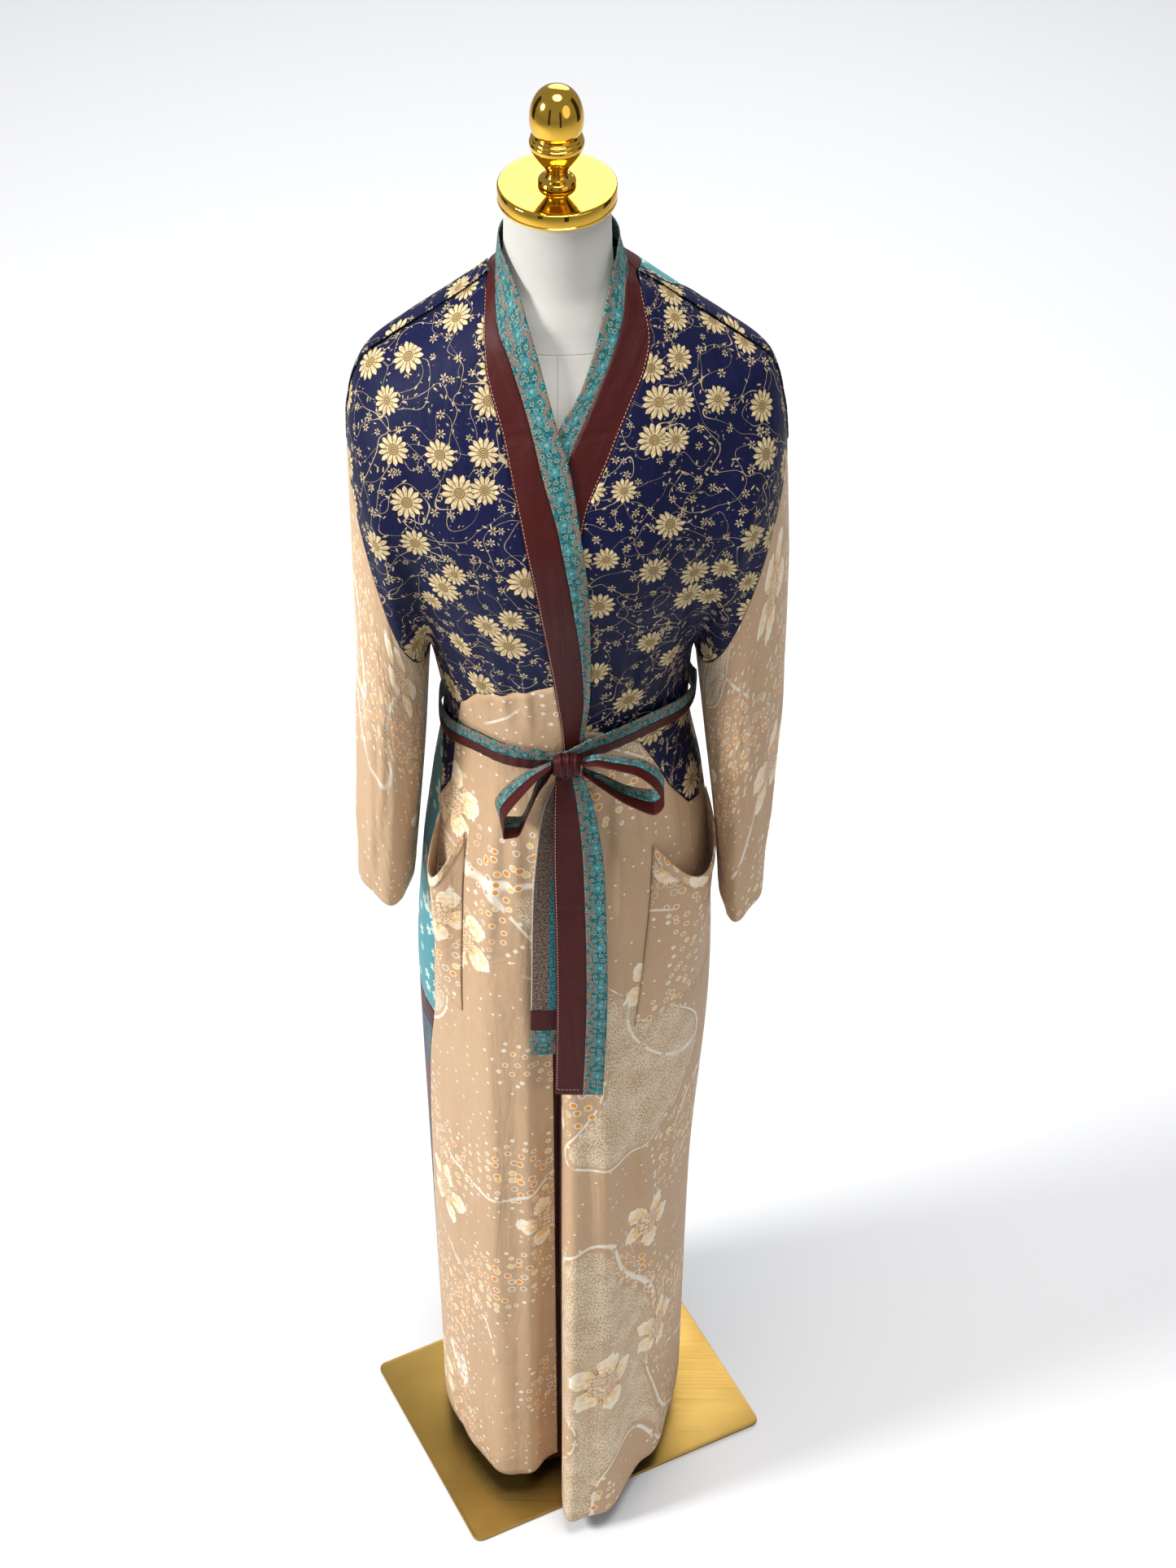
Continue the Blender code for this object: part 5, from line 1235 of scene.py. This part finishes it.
def teal_patches():
    """Small dark patches of teal, maroon and navy with pale sprigs."""
    made, tree, shader = new_finish("dark_teal_patches", Roughness=0.6, Sheen_Weight=0.2,
                                    Specular_IOR_Level=0.3)
    place = on_cut(tree)
    x, y, z = parts(place)
    rows = maths("FLOOR", times(y, 1 / PATCH_SIZE[1]))
    offset = scaled(rows, 0.37, times(x, 1 / PATCH_SIZE[0]))
    patch_number = maths("ADD", maths("FLOOR", offset), times(rows, 13.7))
    chance = node("ShaderNodeTexWhiteNoise", {"W": patch_number}, noise_dimensions="1D").outputs[0]
    teal = blend(clouds(place, 20.0), (0.010, 0.040, 0.050), (0.016, 0.075, 0.088))
    colour = blend(over(chance, 0.62), teal, (0.085, 0.012, 0.018))
    colour = blend(over(chance, 0.84), colour, (0.012, 0.015, 0.060))
    distance, turn, chances = scatter(place, 0.0105, 0.6, 6.0)
    sprig, wave = petals(distance, turn, times(chances[0], 0.0034), 4, 0.35, 0.6)
    colour = blend(times(sprig, 0.30), colour, (0.34, 0.36, 0.30))
    return woven(made, tree, shader, colour, place)


BLOSSOM, PAISLEY, TEAL = blossom_print(), paisley_print(), teal_patches()
neck_turns = np.linspace(0, 180, 61)
neck_z = neck_height(neck_turns, "outer_z")
neck = np.stack((neck_x(neck_turns, neck_z), neck_z), -1)
top = np.vstack((ridge(-1, neck_z[0], 46)[::-1], neck[1:-1], ridge(1, neck_z[-1], 46)))
start, end = (armhole(sign, np.linspace(0, BACK_YOKE_TURN, 60)) for sign in (-1, 1))
bottom = path((start[-1], end[-1]), len(top))
places = patch(top, bottom, start, end)
cloth("blossom_back_yoke", ("back_yoke",), BLOSSOM, "turquoise_print", back, places[..., 0], places[..., 1])
start, end = (armhole(sign, np.linspace(BACK_YOKE_TURN, 180, 40)) for sign in (-1, 1))
start[0, 1] = end[0, 1] = start[0, 1] - 2 * GAP
low = np.linspace(1.100, 1.025, 22)
start = np.vstack((start, np.stack((side_x("right", low), low), -1)))
end = np.vstack((end, np.stack((side_x("left", low), low), -1)))
bottom[:, 1] -= 2 * GAP
across = np.sin(np.linspace(-1, 1, len(top)) * math.pi / 2)
foot_x = (start[-1, 0] + end[-1, 0]) / 2 + across * (end[-1, 0] - start[-1, 0]) / 2
places = patch(bottom, np.stack((foot_x, foot_x * 0 + low[-1]), -1), start, end)
cloth("paisley_back_waist", ("back_waist",), PAISLEY, "red_paisley", back, places[..., 0], places[..., 1])
for name, node_name, finish, slot, high, foot, rows in (
        ("blossom_back_skirt", "back_skirt", BLOSSOM, "turquoise_print", low[-1], BORDER_Z[0], 90),
        ("maroon_back_border", "back_border", MAROON, "maroon_satin", BORDER_Z[0], BORDER_Z[1], 8),
        ("teal_back_hem", "back_hem", TEAL, "teal_cotton", BORDER_Z[1], HEM_Z_SIDE, 130)):
    z = np.linspace(high - GAP, foot, rows)[:, None]
    first = np.degrees(np.arcsin(np.clip(side_x("right", z) / column(BODY, "right", z), -1, 1)))
    first = first - 270 + BACK_TURN
    turn = first - (first + BACK_TURN) * np.linspace(0, 1, BACK_COLUMNS)
    cloth(name, (node_name,), finish, slot, lambda t, h: ring(t * 100, h, "back"), turn / 100, z + 0 * turn)


# The fronts' navy cloth goes on over the shoulders and is felled down on the back, where only a
# narrow strip of it shows. On the wearer's left it starts a little way out from the collar.
SHOULDER_DROP = 0.016
SHOULDER_ROWS = 24
SHOULDER_LIFT = 0.0013
SHOULDER_FORWARD = 0.0004


def shoulder(x, z):
    """The back's surface, a hair further forward."""
    return back(x, z) - np.array((0.0, SHOULDER_FORWARD, 0.0))


for side, sign, share_low, share_high in (("right", -1, -0.10, 0.10), ("left", 1, 0.12, 0.34)):
    top = ridge(sign, neck_z[0 if sign < 0 else -1] - 0.001, 80)
    out = np.linspace(0, 1, 80)
    drop = 0.0006 + SHOULDER_DROP * ease((out - share_low) / (share_high - share_low))
    drop = drop[None, :] * np.linspace(0, 1, SHOULDER_ROWS)[:, None] ** 2
    limit = np.abs(outline(top[:, 1] - drop, sign))
    x = sign * np.minimum(np.abs(top[:, 0]), limit)
    cloth("navy_shoulder_" + side, (), NAVY, "navy_cotton", shoulder, x, top[:, 1] - drop,
          lift=SHOULDER_LIFT, strip=True, rests_on=("blossom_back_yoke",))


# The sleeves are wide tubes of the tan print, cut in one with no cuff. Their ends are turned up and
# stitched. They are set into the dropped armholes and hang in long folds.
CUFF_Z = {"right": 0.838, "left": 0.815}
CUFF_HEM = 0.012
CUFF_TILT = (0.012, 0.008)
SLEEVE_COLUMNS = 180
SLEEVE_ROWS = 120
SLEEVE_FOLDS = table("turn depth width", (
    (38.0, 0.008, 20.0), (104.0, 0.009, 22.0), (162.0, 0.002, 18.0),
    (214.0, 0.002, 20.0), (268.0, 0.009, 22.0), (326.0, 0.007, 20.0)))

# Small creases of the sleeves: each starts at one turn and height and runs down to another.
SLEEVE_CREASES = table("turn0 z0 turn1 z1 depth width", (
    (20.0, 1.120, 34.0, 0.900, 0.0030, 7.0), (58.0, 1.150, 62.0, 0.880, 0.0034, 8.0),
    (82.0, 1.180, 76.0, 0.930, 0.0030, 7.0), (122.0, 1.140, 128.0, 0.900, 0.0034, 8.0),
    (146.0, 1.130, 140.0, 0.860, 0.0026, 7.0), (0.0, 1.080, 6.0, 0.850, 0.0022, 7.0),
    (240.0, 1.150, 236.0, 0.900, 0.0030, 8.0), (292.0, 1.150, 300.0, 0.900, 0.0032, 8.0)))


def sleeve(turn, z, side):
    """Points of a sleeve, by degrees from its outer side through its front."""
    angle = np.radians(turn)
    above = z > UNDERARM_Z
    share = (1 + np.cos(angle)) / 2
    inner = np.where(above, underarm(side), column(SLEEVE, "inner_" + side, z))
    outer = column(SLEEVE, "outer_" + side, z)
    sign = 1.0 if side == "left" else -1.0
    x = sign * (inner + (outer - inner) * share)
    in_front = np.sin(angle) > 0
    hang = np.clip((UNDERARM_Z + 0.1 - z) / 0.40, 0.0, 1.0)
    fold = np.zeros_like(x)
    for place, size, wide in zip(*SLEEVE_FOLDS.values()):
        away = (turn - place + 180) % 360 - 180
        fold = fold + size * np.exp(-(away / wide) ** 2) * hang
    crease = np.zeros_like(x)
    for turn0, z0, turn1, z1, size, wide in zip(*SLEEVE_CREASES.values()):
        along = (z - z0) / (z1 - z0)
        away = (turn - turn0 - (turn1 - turn0) * along + 180) % 360 - 180
        fade = ease(along / 0.4) * ease((1.15 - along) / 0.3)
        crease = crease + size * np.exp(-(away / wide) ** 2) * fade
    crease = crease * ease((UNDERARM_Z + 0.04 - z) / 0.08)
    swell = (fold - 0.006 * hang) / 0.04 * 0.45
    low = np.abs(np.sin(angle)) * np.where(in_front, column(SLEEVE, "front", z), column(SLEEVE, "back", z))
    high = np.where(in_front, depth(x, z, "front"), depth(x, z, "back"))
    deep = np.where(z < UNDERARM_Z, low * (1 + swell) + crease * np.abs(np.sin(angle)), high)
    out = fold + crease - 0.004 * hang
    out = np.where(np.cos(angle) < 0, np.minimum(out, 0.0), out) * np.cos(angle)
    x = x + sign * (out + np.where(above, armhole_gap(share), 0.0))
    y = column(BODY, "side_y", z) + np.where(in_front, -deep, deep)
    return np.stack((x, y, z + 0 * x), -1)


def sleeve_tube(side):
    """A sleeve's surface, by hundreds of degrees round it."""
    return lambda t, h: sleeve(t * 100, h, side)


TAN_THREAD = thread("tan_thread", (0.52, 0.38, 0.26))
for side, cuff in CUFF_Z.items():
    turn = np.linspace(0, 360, SLEEVE_COLUMNS + 1)
    rise = ((1 + np.cos(np.radians(turn))) / 2) ** ARMHOLE_CURVE
    top = UNDERARM_Z - 0.0004 + (ARMHOLE_TOP_Z - UNDERARM_Z) * rise
    low = cuff + CUFF_TILT[0] * np.cos(np.radians(turn)) - CUFF_TILT[1] * np.sin(np.radians(turn))
    fall = np.linspace(0, 1, SLEEVE_ROWS)[:, None]
    z = top * (1 - fall) + low * fall
    tube = sleeve_tube(side)
    cloth("tan_sleeve_" + side, ("sleeve_" + side,), TAN, "beige_print", tube, turn / 100 + 0 * z, z,
          tube=True)
    stitches("cuff_stitching_" + side, TAN_THREAD, "beige_print", tube, turn / 100, low + CUFF_HEM, 0.0)


# The patch pockets are pieces of the tan print with a hemmed mouth. Each is topstitched down both
# sides and along its foot, and its mouth sags open.
POCKETS = {
    "right": table("z front side", ((0.940, -45.0, -64.0), (0.720, -39.0, -57.0))),
    "left": table("z front side", ((0.930, 39.0, 84.0), (0.715, 27.5, 72.0)))}
POCKET_SAG = {"right": 0.060, "left": 0.055}
POCKET_BULGE = {"right": 0.020, "left": 0.019}
POCKET_ROWS, POCKET_COLUMNS = 72, 64
POCKET_HEM_ROWS = 6
POCKET_HEM_LIFT = 0.0005
CAD_CLOTH = 0.0012


def pocket_front(layer):
    """The front that a pocket is sewn on, by hundreds of degrees round the ring."""
    return lambda t, h: ring(t * 100, h, layer) - np.array((0.0, GAP / 2, 0.0))


for side, layer in (("right", "over"), ("left", "under")):
    pocket = POCKETS[side]
    share = np.linspace(0, 1, POCKET_COLUMNS)
    drop = np.linspace(0, 1, POCKET_ROWS)[:, None]
    middle = np.sin(share * math.pi)
    z = (pocket["z"][0] - POCKET_SAG[side] * middle) * (1 - drop) + pocket["z"][-1] * drop
    turn = column(pocket, "front", z) * (1 - share) + column(pocket, "side", z) * share
    bulge = POCKET_BULGE[side] * middle * (1 - drop) ** 0.7
    pocket_lift = CAD_CLOTH + GAP + bulge
    cloth("tan_pocket_" + side, ("pocket_" + side,), TAN, "beige_print", pocket_front(layer), turn / 100, z,
          lift=pocket_lift, rests_on=("tan_skirt_" + side,))
    hem = slice(0, POCKET_HEM_ROWS)
    cloth("pocket_hem_" + side, (), TAN, "beige_print", pocket_front(layer), turn[hem] / 100, z[hem],
          lift=pocket_lift[hem] + CLOTH + POCKET_HEM_LIFT, strip=True, rests_on=("tan_pocket_" + side,))
    down = slice(2, -1)
    for edge, line in (("front", (down, 1)), ("side", (down, -2)), ("foot", (-2, slice(1, -1)))):
        stitches("pocket_%s_stitching_%s" % (edge, side), TAN_THREAD, "beige_print", pocket_front(layer),
                 turn[line] / 100, z[line], pocket_lift[line][..., None])


# The belt is the same turquoise and maroon strips as the band, seamed along the middle. It goes once
# round the waist and is drawn together under the knot.
BELT_HEIGHT = 0.026
BELT_LIFT = 0.0032
BELT_ROWS = 12
BELT_ROUND = 0.0012
BELT_PINCH, BELT_PINCH_TURN = 0.35, 9.0
BELT_PLEAT, BELT_PLEAT_TURN = 0.0009, 40.0
BELT_RISE = table("turn z", (
    (-180, 1.045), (-125, 1.035), (-80, 1.030), (-40, 1.052), (-14, 1.057), (0, 1.060),
    (14, 1.072), (38, 1.080), (72, 1.062), (125, 1.045), (180, 1.045)))


def belt_surface(t, h):
    """The over front's ring, by hundreds of degrees."""
    return ring(t * 100, h, "over")


turn = np.linspace(-180, 180, 361)
rise = smooth(turn, BELT_RISE["turn"], BELT_RISE["z"])
pinch = 1 - BELT_PINCH * np.exp(-(turn / BELT_PINCH_TURN) ** 2)
pleats = BELT_PLEAT * np.sin(turn * 0.55) * np.exp(-(turn / BELT_PLEAT_TURN) ** 2)
for colour, low, high in (("turquoise", GAP, BELT_HEIGHT / 2), ("maroon", -BELT_HEIGHT / 2, -GAP)):
    share = np.linspace(high, low, BELT_ROWS)[:, None]
    z = rise + share * pinch
    round_ = BELT_ROUND * np.sqrt(np.maximum(0.0, 1 - (share / (BELT_HEIGHT / 2)) ** 2))
    cloth(colour + "_belt", ("belt_" + colour,), *STRIP_FINISH[colour], belt_surface,
          (turn / 100 + 0 * z).T, z.T, lift=(BELT_LIFT + round_ + np.abs(pleats)).T, strip=True,
          rests_on=("navy_yoke_right", "navy_yoke_left"))


# The knot of the bow is one turn of the belt drawn tight, a small pillow with folds that run up it.
KNOT_SIZE = (0.026, 0.016, 0.024)
KNOT_X = 0.006
KNOT_LIFT = 0.0008
KNOT_ROUND = 0.72
KNOT_IN = 0.0006
KNOT_TURNS, KNOT_ROWS = 97, 41


def knot_middle():
    """The middle of the bow's knot, seated on the belt."""
    z = float(smooth(np.array(0.0), BELT_RISE["turn"], BELT_RISE["z"]))
    seat = robe(np.array(KNOT_X), np.array(z), "over")
    return np.array((KNOT_X, seat[1] - BELT_LIFT - KNOT_LIFT - CAD_CLOTH / 2 - GAP - KNOT_SIZE[1] / 2, z))


def knot_wrap(turn, share):
    """Points of the knot's wrap, by degrees round it from its front and by share of its width."""
    angle = np.radians(turn)
    swell = 1 - 0.34 * np.abs(share) ** 3
    wrinkle = 0.0007 * np.sin(share * 11 + np.sin(angle) * 1.6) + 0.0004 * np.sin(share * 23 + angle)
    x = share * KNOT_SIZE[0] / 2 * (1 - 0.10 * np.cos(angle) ** 2) + 0.0012 * np.sin(angle)
    ways = ((-np.cos(angle), KNOT_SIZE[1]), (np.sin(angle), KNOT_SIZE[2]))
    y, z = (np.sign(way) * np.abs(way) ** KNOT_ROUND * (size / 2 - KNOT_IN + wrinkle) * swell
            for way, size in ways)
    return np.stack((x, y, z), -1) + knot_middle()


turn, share = np.meshgrid(np.linspace(-180, 180, KNOT_TURNS), np.linspace(-1, 1, KNOT_ROWS), indexing="ij")
cloth("maroon_belt_knot", ("belt_knot",), MAROON, "maroon_satin", lambda t, s: knot_wrap(t * 100, s),
      turn.T / 100, share.T, tube=True, held="gathered", rests_on=("turquoise_belt", "maroon_belt"))


# The bow has a loop to each side and two tails. All are the belt's two strips seamed together, and
# the rear tail has a maroon block pieced in near its end.
RIBBON_COLUMNS = "x y z width across_x across_y across_z"
LOOP_LEFT = table(RIBBON_COLUMNS, (
    (0.0138, 0.000, 0.003, 0.015, 0.00, -0.95, 0.30),
    (0.032, -0.008, 0.013, 0.026, -0.10, -0.95, 0.35),
    (0.060, -0.014, 0.012, 0.032, -0.10, -0.95, 0.30),
    (0.080, -0.018, 0.000, 0.032, -0.05, -1.00, 0.10),
    (0.086, -0.019, -0.014, 0.032, 0.00, -1.00, 0.00),
    (0.076, -0.019, -0.027, 0.031, 0.05, -1.00, -0.05),
    (0.055, -0.015, -0.023, 0.029, 0.05, -1.00, 0.10),
    (0.032, -0.009, -0.012, 0.024, 0.00, -0.98, 0.15),
    (0.0138, -0.001, -0.006, 0.015, 0.00, -0.95, 0.20)))
LOOP_RIGHT = table(RIBBON_COLUMNS, (
    (-0.0138, 0.000, 0.000, 0.015, 0.00, -0.95, 0.30),
    (-0.026, -0.006, -0.004, 0.022, 0.20, -0.95, 0.25),
    (-0.046, -0.010, -0.022, 0.028, 0.30, -0.95, 0.15),
    (-0.060, -0.012, -0.046, 0.029, 0.30, -0.95, 0.05),
    (-0.058, -0.012, -0.066, 0.029, 0.10, -1.00, 0.00),
    (-0.044, -0.011, -0.066, 0.028, -0.10, -1.00, 0.05),
    (-0.034, -0.009, -0.044, 0.024, -0.10, -1.00, 0.10),
    (-0.026, -0.006, -0.022, 0.018, 0.00, -0.98, 0.15),
    (-0.0142, -0.001, -0.007, 0.012, 0.00, -0.95, 0.20)))
TAIL_FRONT = table(RIBBON_COLUMNS, (
    (0.002, -0.0018, -0.0123, 0.024, 1.0, 0.00, 0.0),
    (0.006, -0.009, -0.045, 0.036, 1.0, 0.10, 0.0),
    (0.011, -0.020, -0.130, 0.047, 1.0, 0.08, 0.0),
    (0.013, -0.036, -0.260, 0.048, 1.0, 0.00, 0.0),
    (0.010, -0.046, -0.390, 0.046, 1.0, -0.05, 0.0)))
TAIL_REAR = table(RIBBON_COLUMNS, (
    (-0.001, 0.0014, -0.0123, 0.012, 1.0, 0.00, 0.0),
    (-0.012, -0.001, -0.060, 0.022, 1.0, 0.10, 0.0),
    (-0.019, -0.013, -0.150, 0.026, 1.0, 0.15, 0.0),
    (-0.021, -0.026, -0.260, 0.027, 1.0, 0.05, 0.0),
    (-0.023, -0.034, -0.346, 0.027, 1.0, 0.00, 0.0)))
LOOP_SEAM = 0.006


def ribbon_surface(places, waves):
    """The surface of a belt ribbon, by share of its length and of its width, gathered at the knot."""
    stations = np.linspace(0, 1, len(places["x"]))
    middle = knot_middle()

    def surface(t, w):
        """Points of the ribbon."""
        centre = np.stack([smooth(t, stations, places[axis]) for axis in "xyz"], -1) + middle
        across = np.stack([smooth(t, stations, places["across_" + axis]) for axis in "xyz"], -1)
        across /= np.linalg.norm(across, axis=-1, keepdims=True)
        tiny = 1e-3
        nearby = [[smooth(t + step, stations, places[axis]) for axis in "xyz"] for step in (tiny, -tiny)]
        ahead = np.stack(nearby[0], -1) - np.stack(nearby[1], -1)
        out = np.cross(ahead, across)
        out /= np.linalg.norm(out, axis=-1, keepdims=True)
        wave = waves(t, w)
        wide = w * smooth(t, stations, places["width"])
        return centre + across * wide[..., None] + out * wave[..., None]

    return surface


def loop_waves(t, w):
    """Small folds that run out of the knot at both ends of a loop."""
    near = np.exp(-(t / 0.16) ** 2) + np.exp(-((1 - t) / 0.16) ** 2)
    return 0.0011 * np.sin(w * 15) * near * ease(np.minimum(t, 1 - t) / 0.05)


def tail_waves(t, w):
    """Folds at the knot, and a slow ripple down the tail."""
    return (0.0011 * np.sin(w * 14) * np.exp(-(t / 0.12) ** 2) * ease(t / 0.04)
            + 0.0012 * np.sin(t * 9 + w * 2.2) * ease(t / 0.3))


REVERSE_SPLIT = 0.0165


def dark_reverse():
    """The belt's two strips seen from their wrong side, duller and greyer."""
    made, tree, shader = new_finish("grey_brown_reverse", Roughness=0.65, Specular_IOR_Level=0.25)
    place = on_cut(tree)
    x, y, z = parts(place)
    fleck = spread(clouds(place, 460.0, 3.0, 0.7), 0.42, 0.60, 0.0, 1.0)
    cover = below(REVERSE_SPLIT, x, 0.0006)
    colour = blend(cover, blend(fleck, (0.045, 0.030, 0.022), (0.21, 0.145, 0.105)),
                   blend(fleck, (0.006, 0.050, 0.064), (0.035, 0.24, 0.26)))
    colour = blend(below(x, 0.0009, 0.0004), colour, (0.42, 0.38, 0.33))
    return woven(made, tree, shader, colour, place, 0.6, 0.8)


REVERSE = dark_reverse()
RIBBON_ACROSS = 16
STRIPS = [("loop_%s_%s" % (colour, side), *STRIP_FINISH[colour], line, loop_waves, low, high, 0.0, 1.0, 120)
          for side, line in (("left", LOOP_LEFT), ("right", LOOP_RIGHT))
          for colour, low, high in (("maroon", LOOP_SEAM, 0.5), ("turquoise", -0.5, -LOOP_SEAM))]
STRIPS += [
    ("tail_front_maroon", *STRIP_FINISH["maroon"], TAIL_FRONT, tail_waves, -0.5, 0.09, 0.0, 1.0, 150),
    ("tail_front_turquoise", *STRIP_FINISH["turquoise"], TAIL_FRONT, tail_waves, 0.10, 0.5, 0.0, 1.0, 150),
    ("tail_rear_top", REVERSE, "turquoise_print", TAIL_REAR, tail_waves, -0.5, 0.5, 0.0, 0.829, 110),
    ("tail_rear_block", *STRIP_FINISH["maroon"], TAIL_REAR, tail_waves, -0.5, 0.5, 0.831, 0.904, 16),
    ("tail_rear_tip", *STRIP_FINISH["turquoise"], TAIL_REAR, tail_waves, -0.5, 0.5, 0.906, 1.0, 20)]
for name, finish, slot, line, waves, low, high, first, last, rows in STRIPS:
    t, w = np.meshgrid(np.linspace(first, last, rows), np.linspace(low, high, RIBBON_ACROSS), indexing="ij")
    cloth(name + "_ribbon", (name,), finish, slot, ribbon_surface(line, waves), t, w, strip=True,
          rests_on=("maroon_belt_knot",))
tail = ribbon_surface(TAIL_FRONT, tail_waves)
t = np.linspace(0.03, 0.99, 150)
stitches("tail_edge_stitching", PINK_THREAD, "maroon_satin", tail, t, 0 * t - 0.46, 0.0)
stitches("tail_foot_stitching", PINK_THREAD, "maroon_satin", tail, 0 * t + 0.987,
         np.linspace(-0.45, 0.07, 150), 0.0)


# The floor is plain and pale. Soft lights stand above and beside the robe, and dark cards beyond
# them, which only reflections see, give the gold its edges.
FLOOR_SIZE = 40.0
SKY_STRENGTH = 0.36
bpy.ops.mesh.primitive_plane_add(size=FLOOR_SIZE)
floor = bpy.context.object
floor.name = "floor"
finish, tree, shader = new_finish("pale_floor", Roughness=0.75)
shader.inputs["Base Color"].default_value = (0.80, 0.80, 0.80, 1.0)
floor.data.materials.append(finish)
AIM_AT = np.array((0.0, 0.0, 0.95))
LIGHTS = table("x y z size power", (
    (-2.9, -0.9, 2.7, 0.9, 135.0), (2.6, -2.4, 2.6, 2.4, 14.0),
    (0.2, -0.4, 4.4, 1.8, 85.0), (0.3, 3.0, 3.0, 2.6, 60.0)))
for x, y, z, size, power in zip(*LIGHTS.values()):
    bpy.ops.object.light_add(type="AREA", location=(x, y, z))
    lamp = bpy.context.object
    lamp.data.shape = "DISK"
    lamp.data.size = size
    lamp.data.energy = power
    aim = AIM_AT - np.array((x, y, z))
    tilt, heading = math.acos(-aim[2] / np.linalg.norm(aim)), math.atan2(aim[1], aim[0])
    lamp.rotation_euler = (tilt, 0.0, heading - math.pi / 2)
CARDS = table("x y z wide high", (
    (-1.5, -2.6, 1.9, 0.5, 2.2), (0.9, -2.9, 1.6, 0.45, 2.2),
    (2.4, 0.6, 1.8, 1.0, 2.4), (-2.4, 1.0, 1.8, 1.0, 2.4)))
dark, tree, shader = new_finish("dark_card", Roughness=0.9)
shader.inputs["Base Color"].default_value = (0.012, 0.007, 0.003, 1.0)
for x, y, z, wide, high in zip(*CARDS.values()):
    bpy.ops.mesh.primitive_plane_add(size=1.0, location=(x, y, z),
                                     rotation=(math.pi / 2, 0.0, math.atan2(y, x) - math.pi / 2))
    card = bpy.context.object
    card.scale = (wide, high, 1.0)
    card.data.materials.append(dark)
    card.visible_camera = card.visible_diffuse = card.visible_shadow = False
world = bpy.data.worlds.new("studio")
world.use_nodes = True
sky = world.node_tree.nodes["Background"].inputs
sky["Color"].default_value = (0.93, 0.95, 1.0, 1.0)
sky["Strength"].default_value = SKY_STRENGTH
bpy.context.scene.world = world
bpy.context.scene.view_settings.view_transform = "Standard"

# The camera stands in front of the robe and looks down on it through a long lens.
CAMERA_PLACE = (0.035, -2.188, 3.036)
CAMERA_DOWN = math.radians(43.58)
CAMERA_YAW = math.radians(0.22)
CAMERA_ROLL = math.radians(0.06)
CAMERA_LENS, CAMERA_SENSOR = 74.65, 36.0
bpy.ops.object.camera_add(location=CAMERA_PLACE,
                          rotation=(math.pi / 2 - CAMERA_DOWN, CAMERA_ROLL, CAMERA_YAW))
camera = bpy.context.object
camera.data.lens = CAMERA_LENS
camera.data.sensor_width = CAMERA_SENSOR
bpy.context.scene.camera = camera
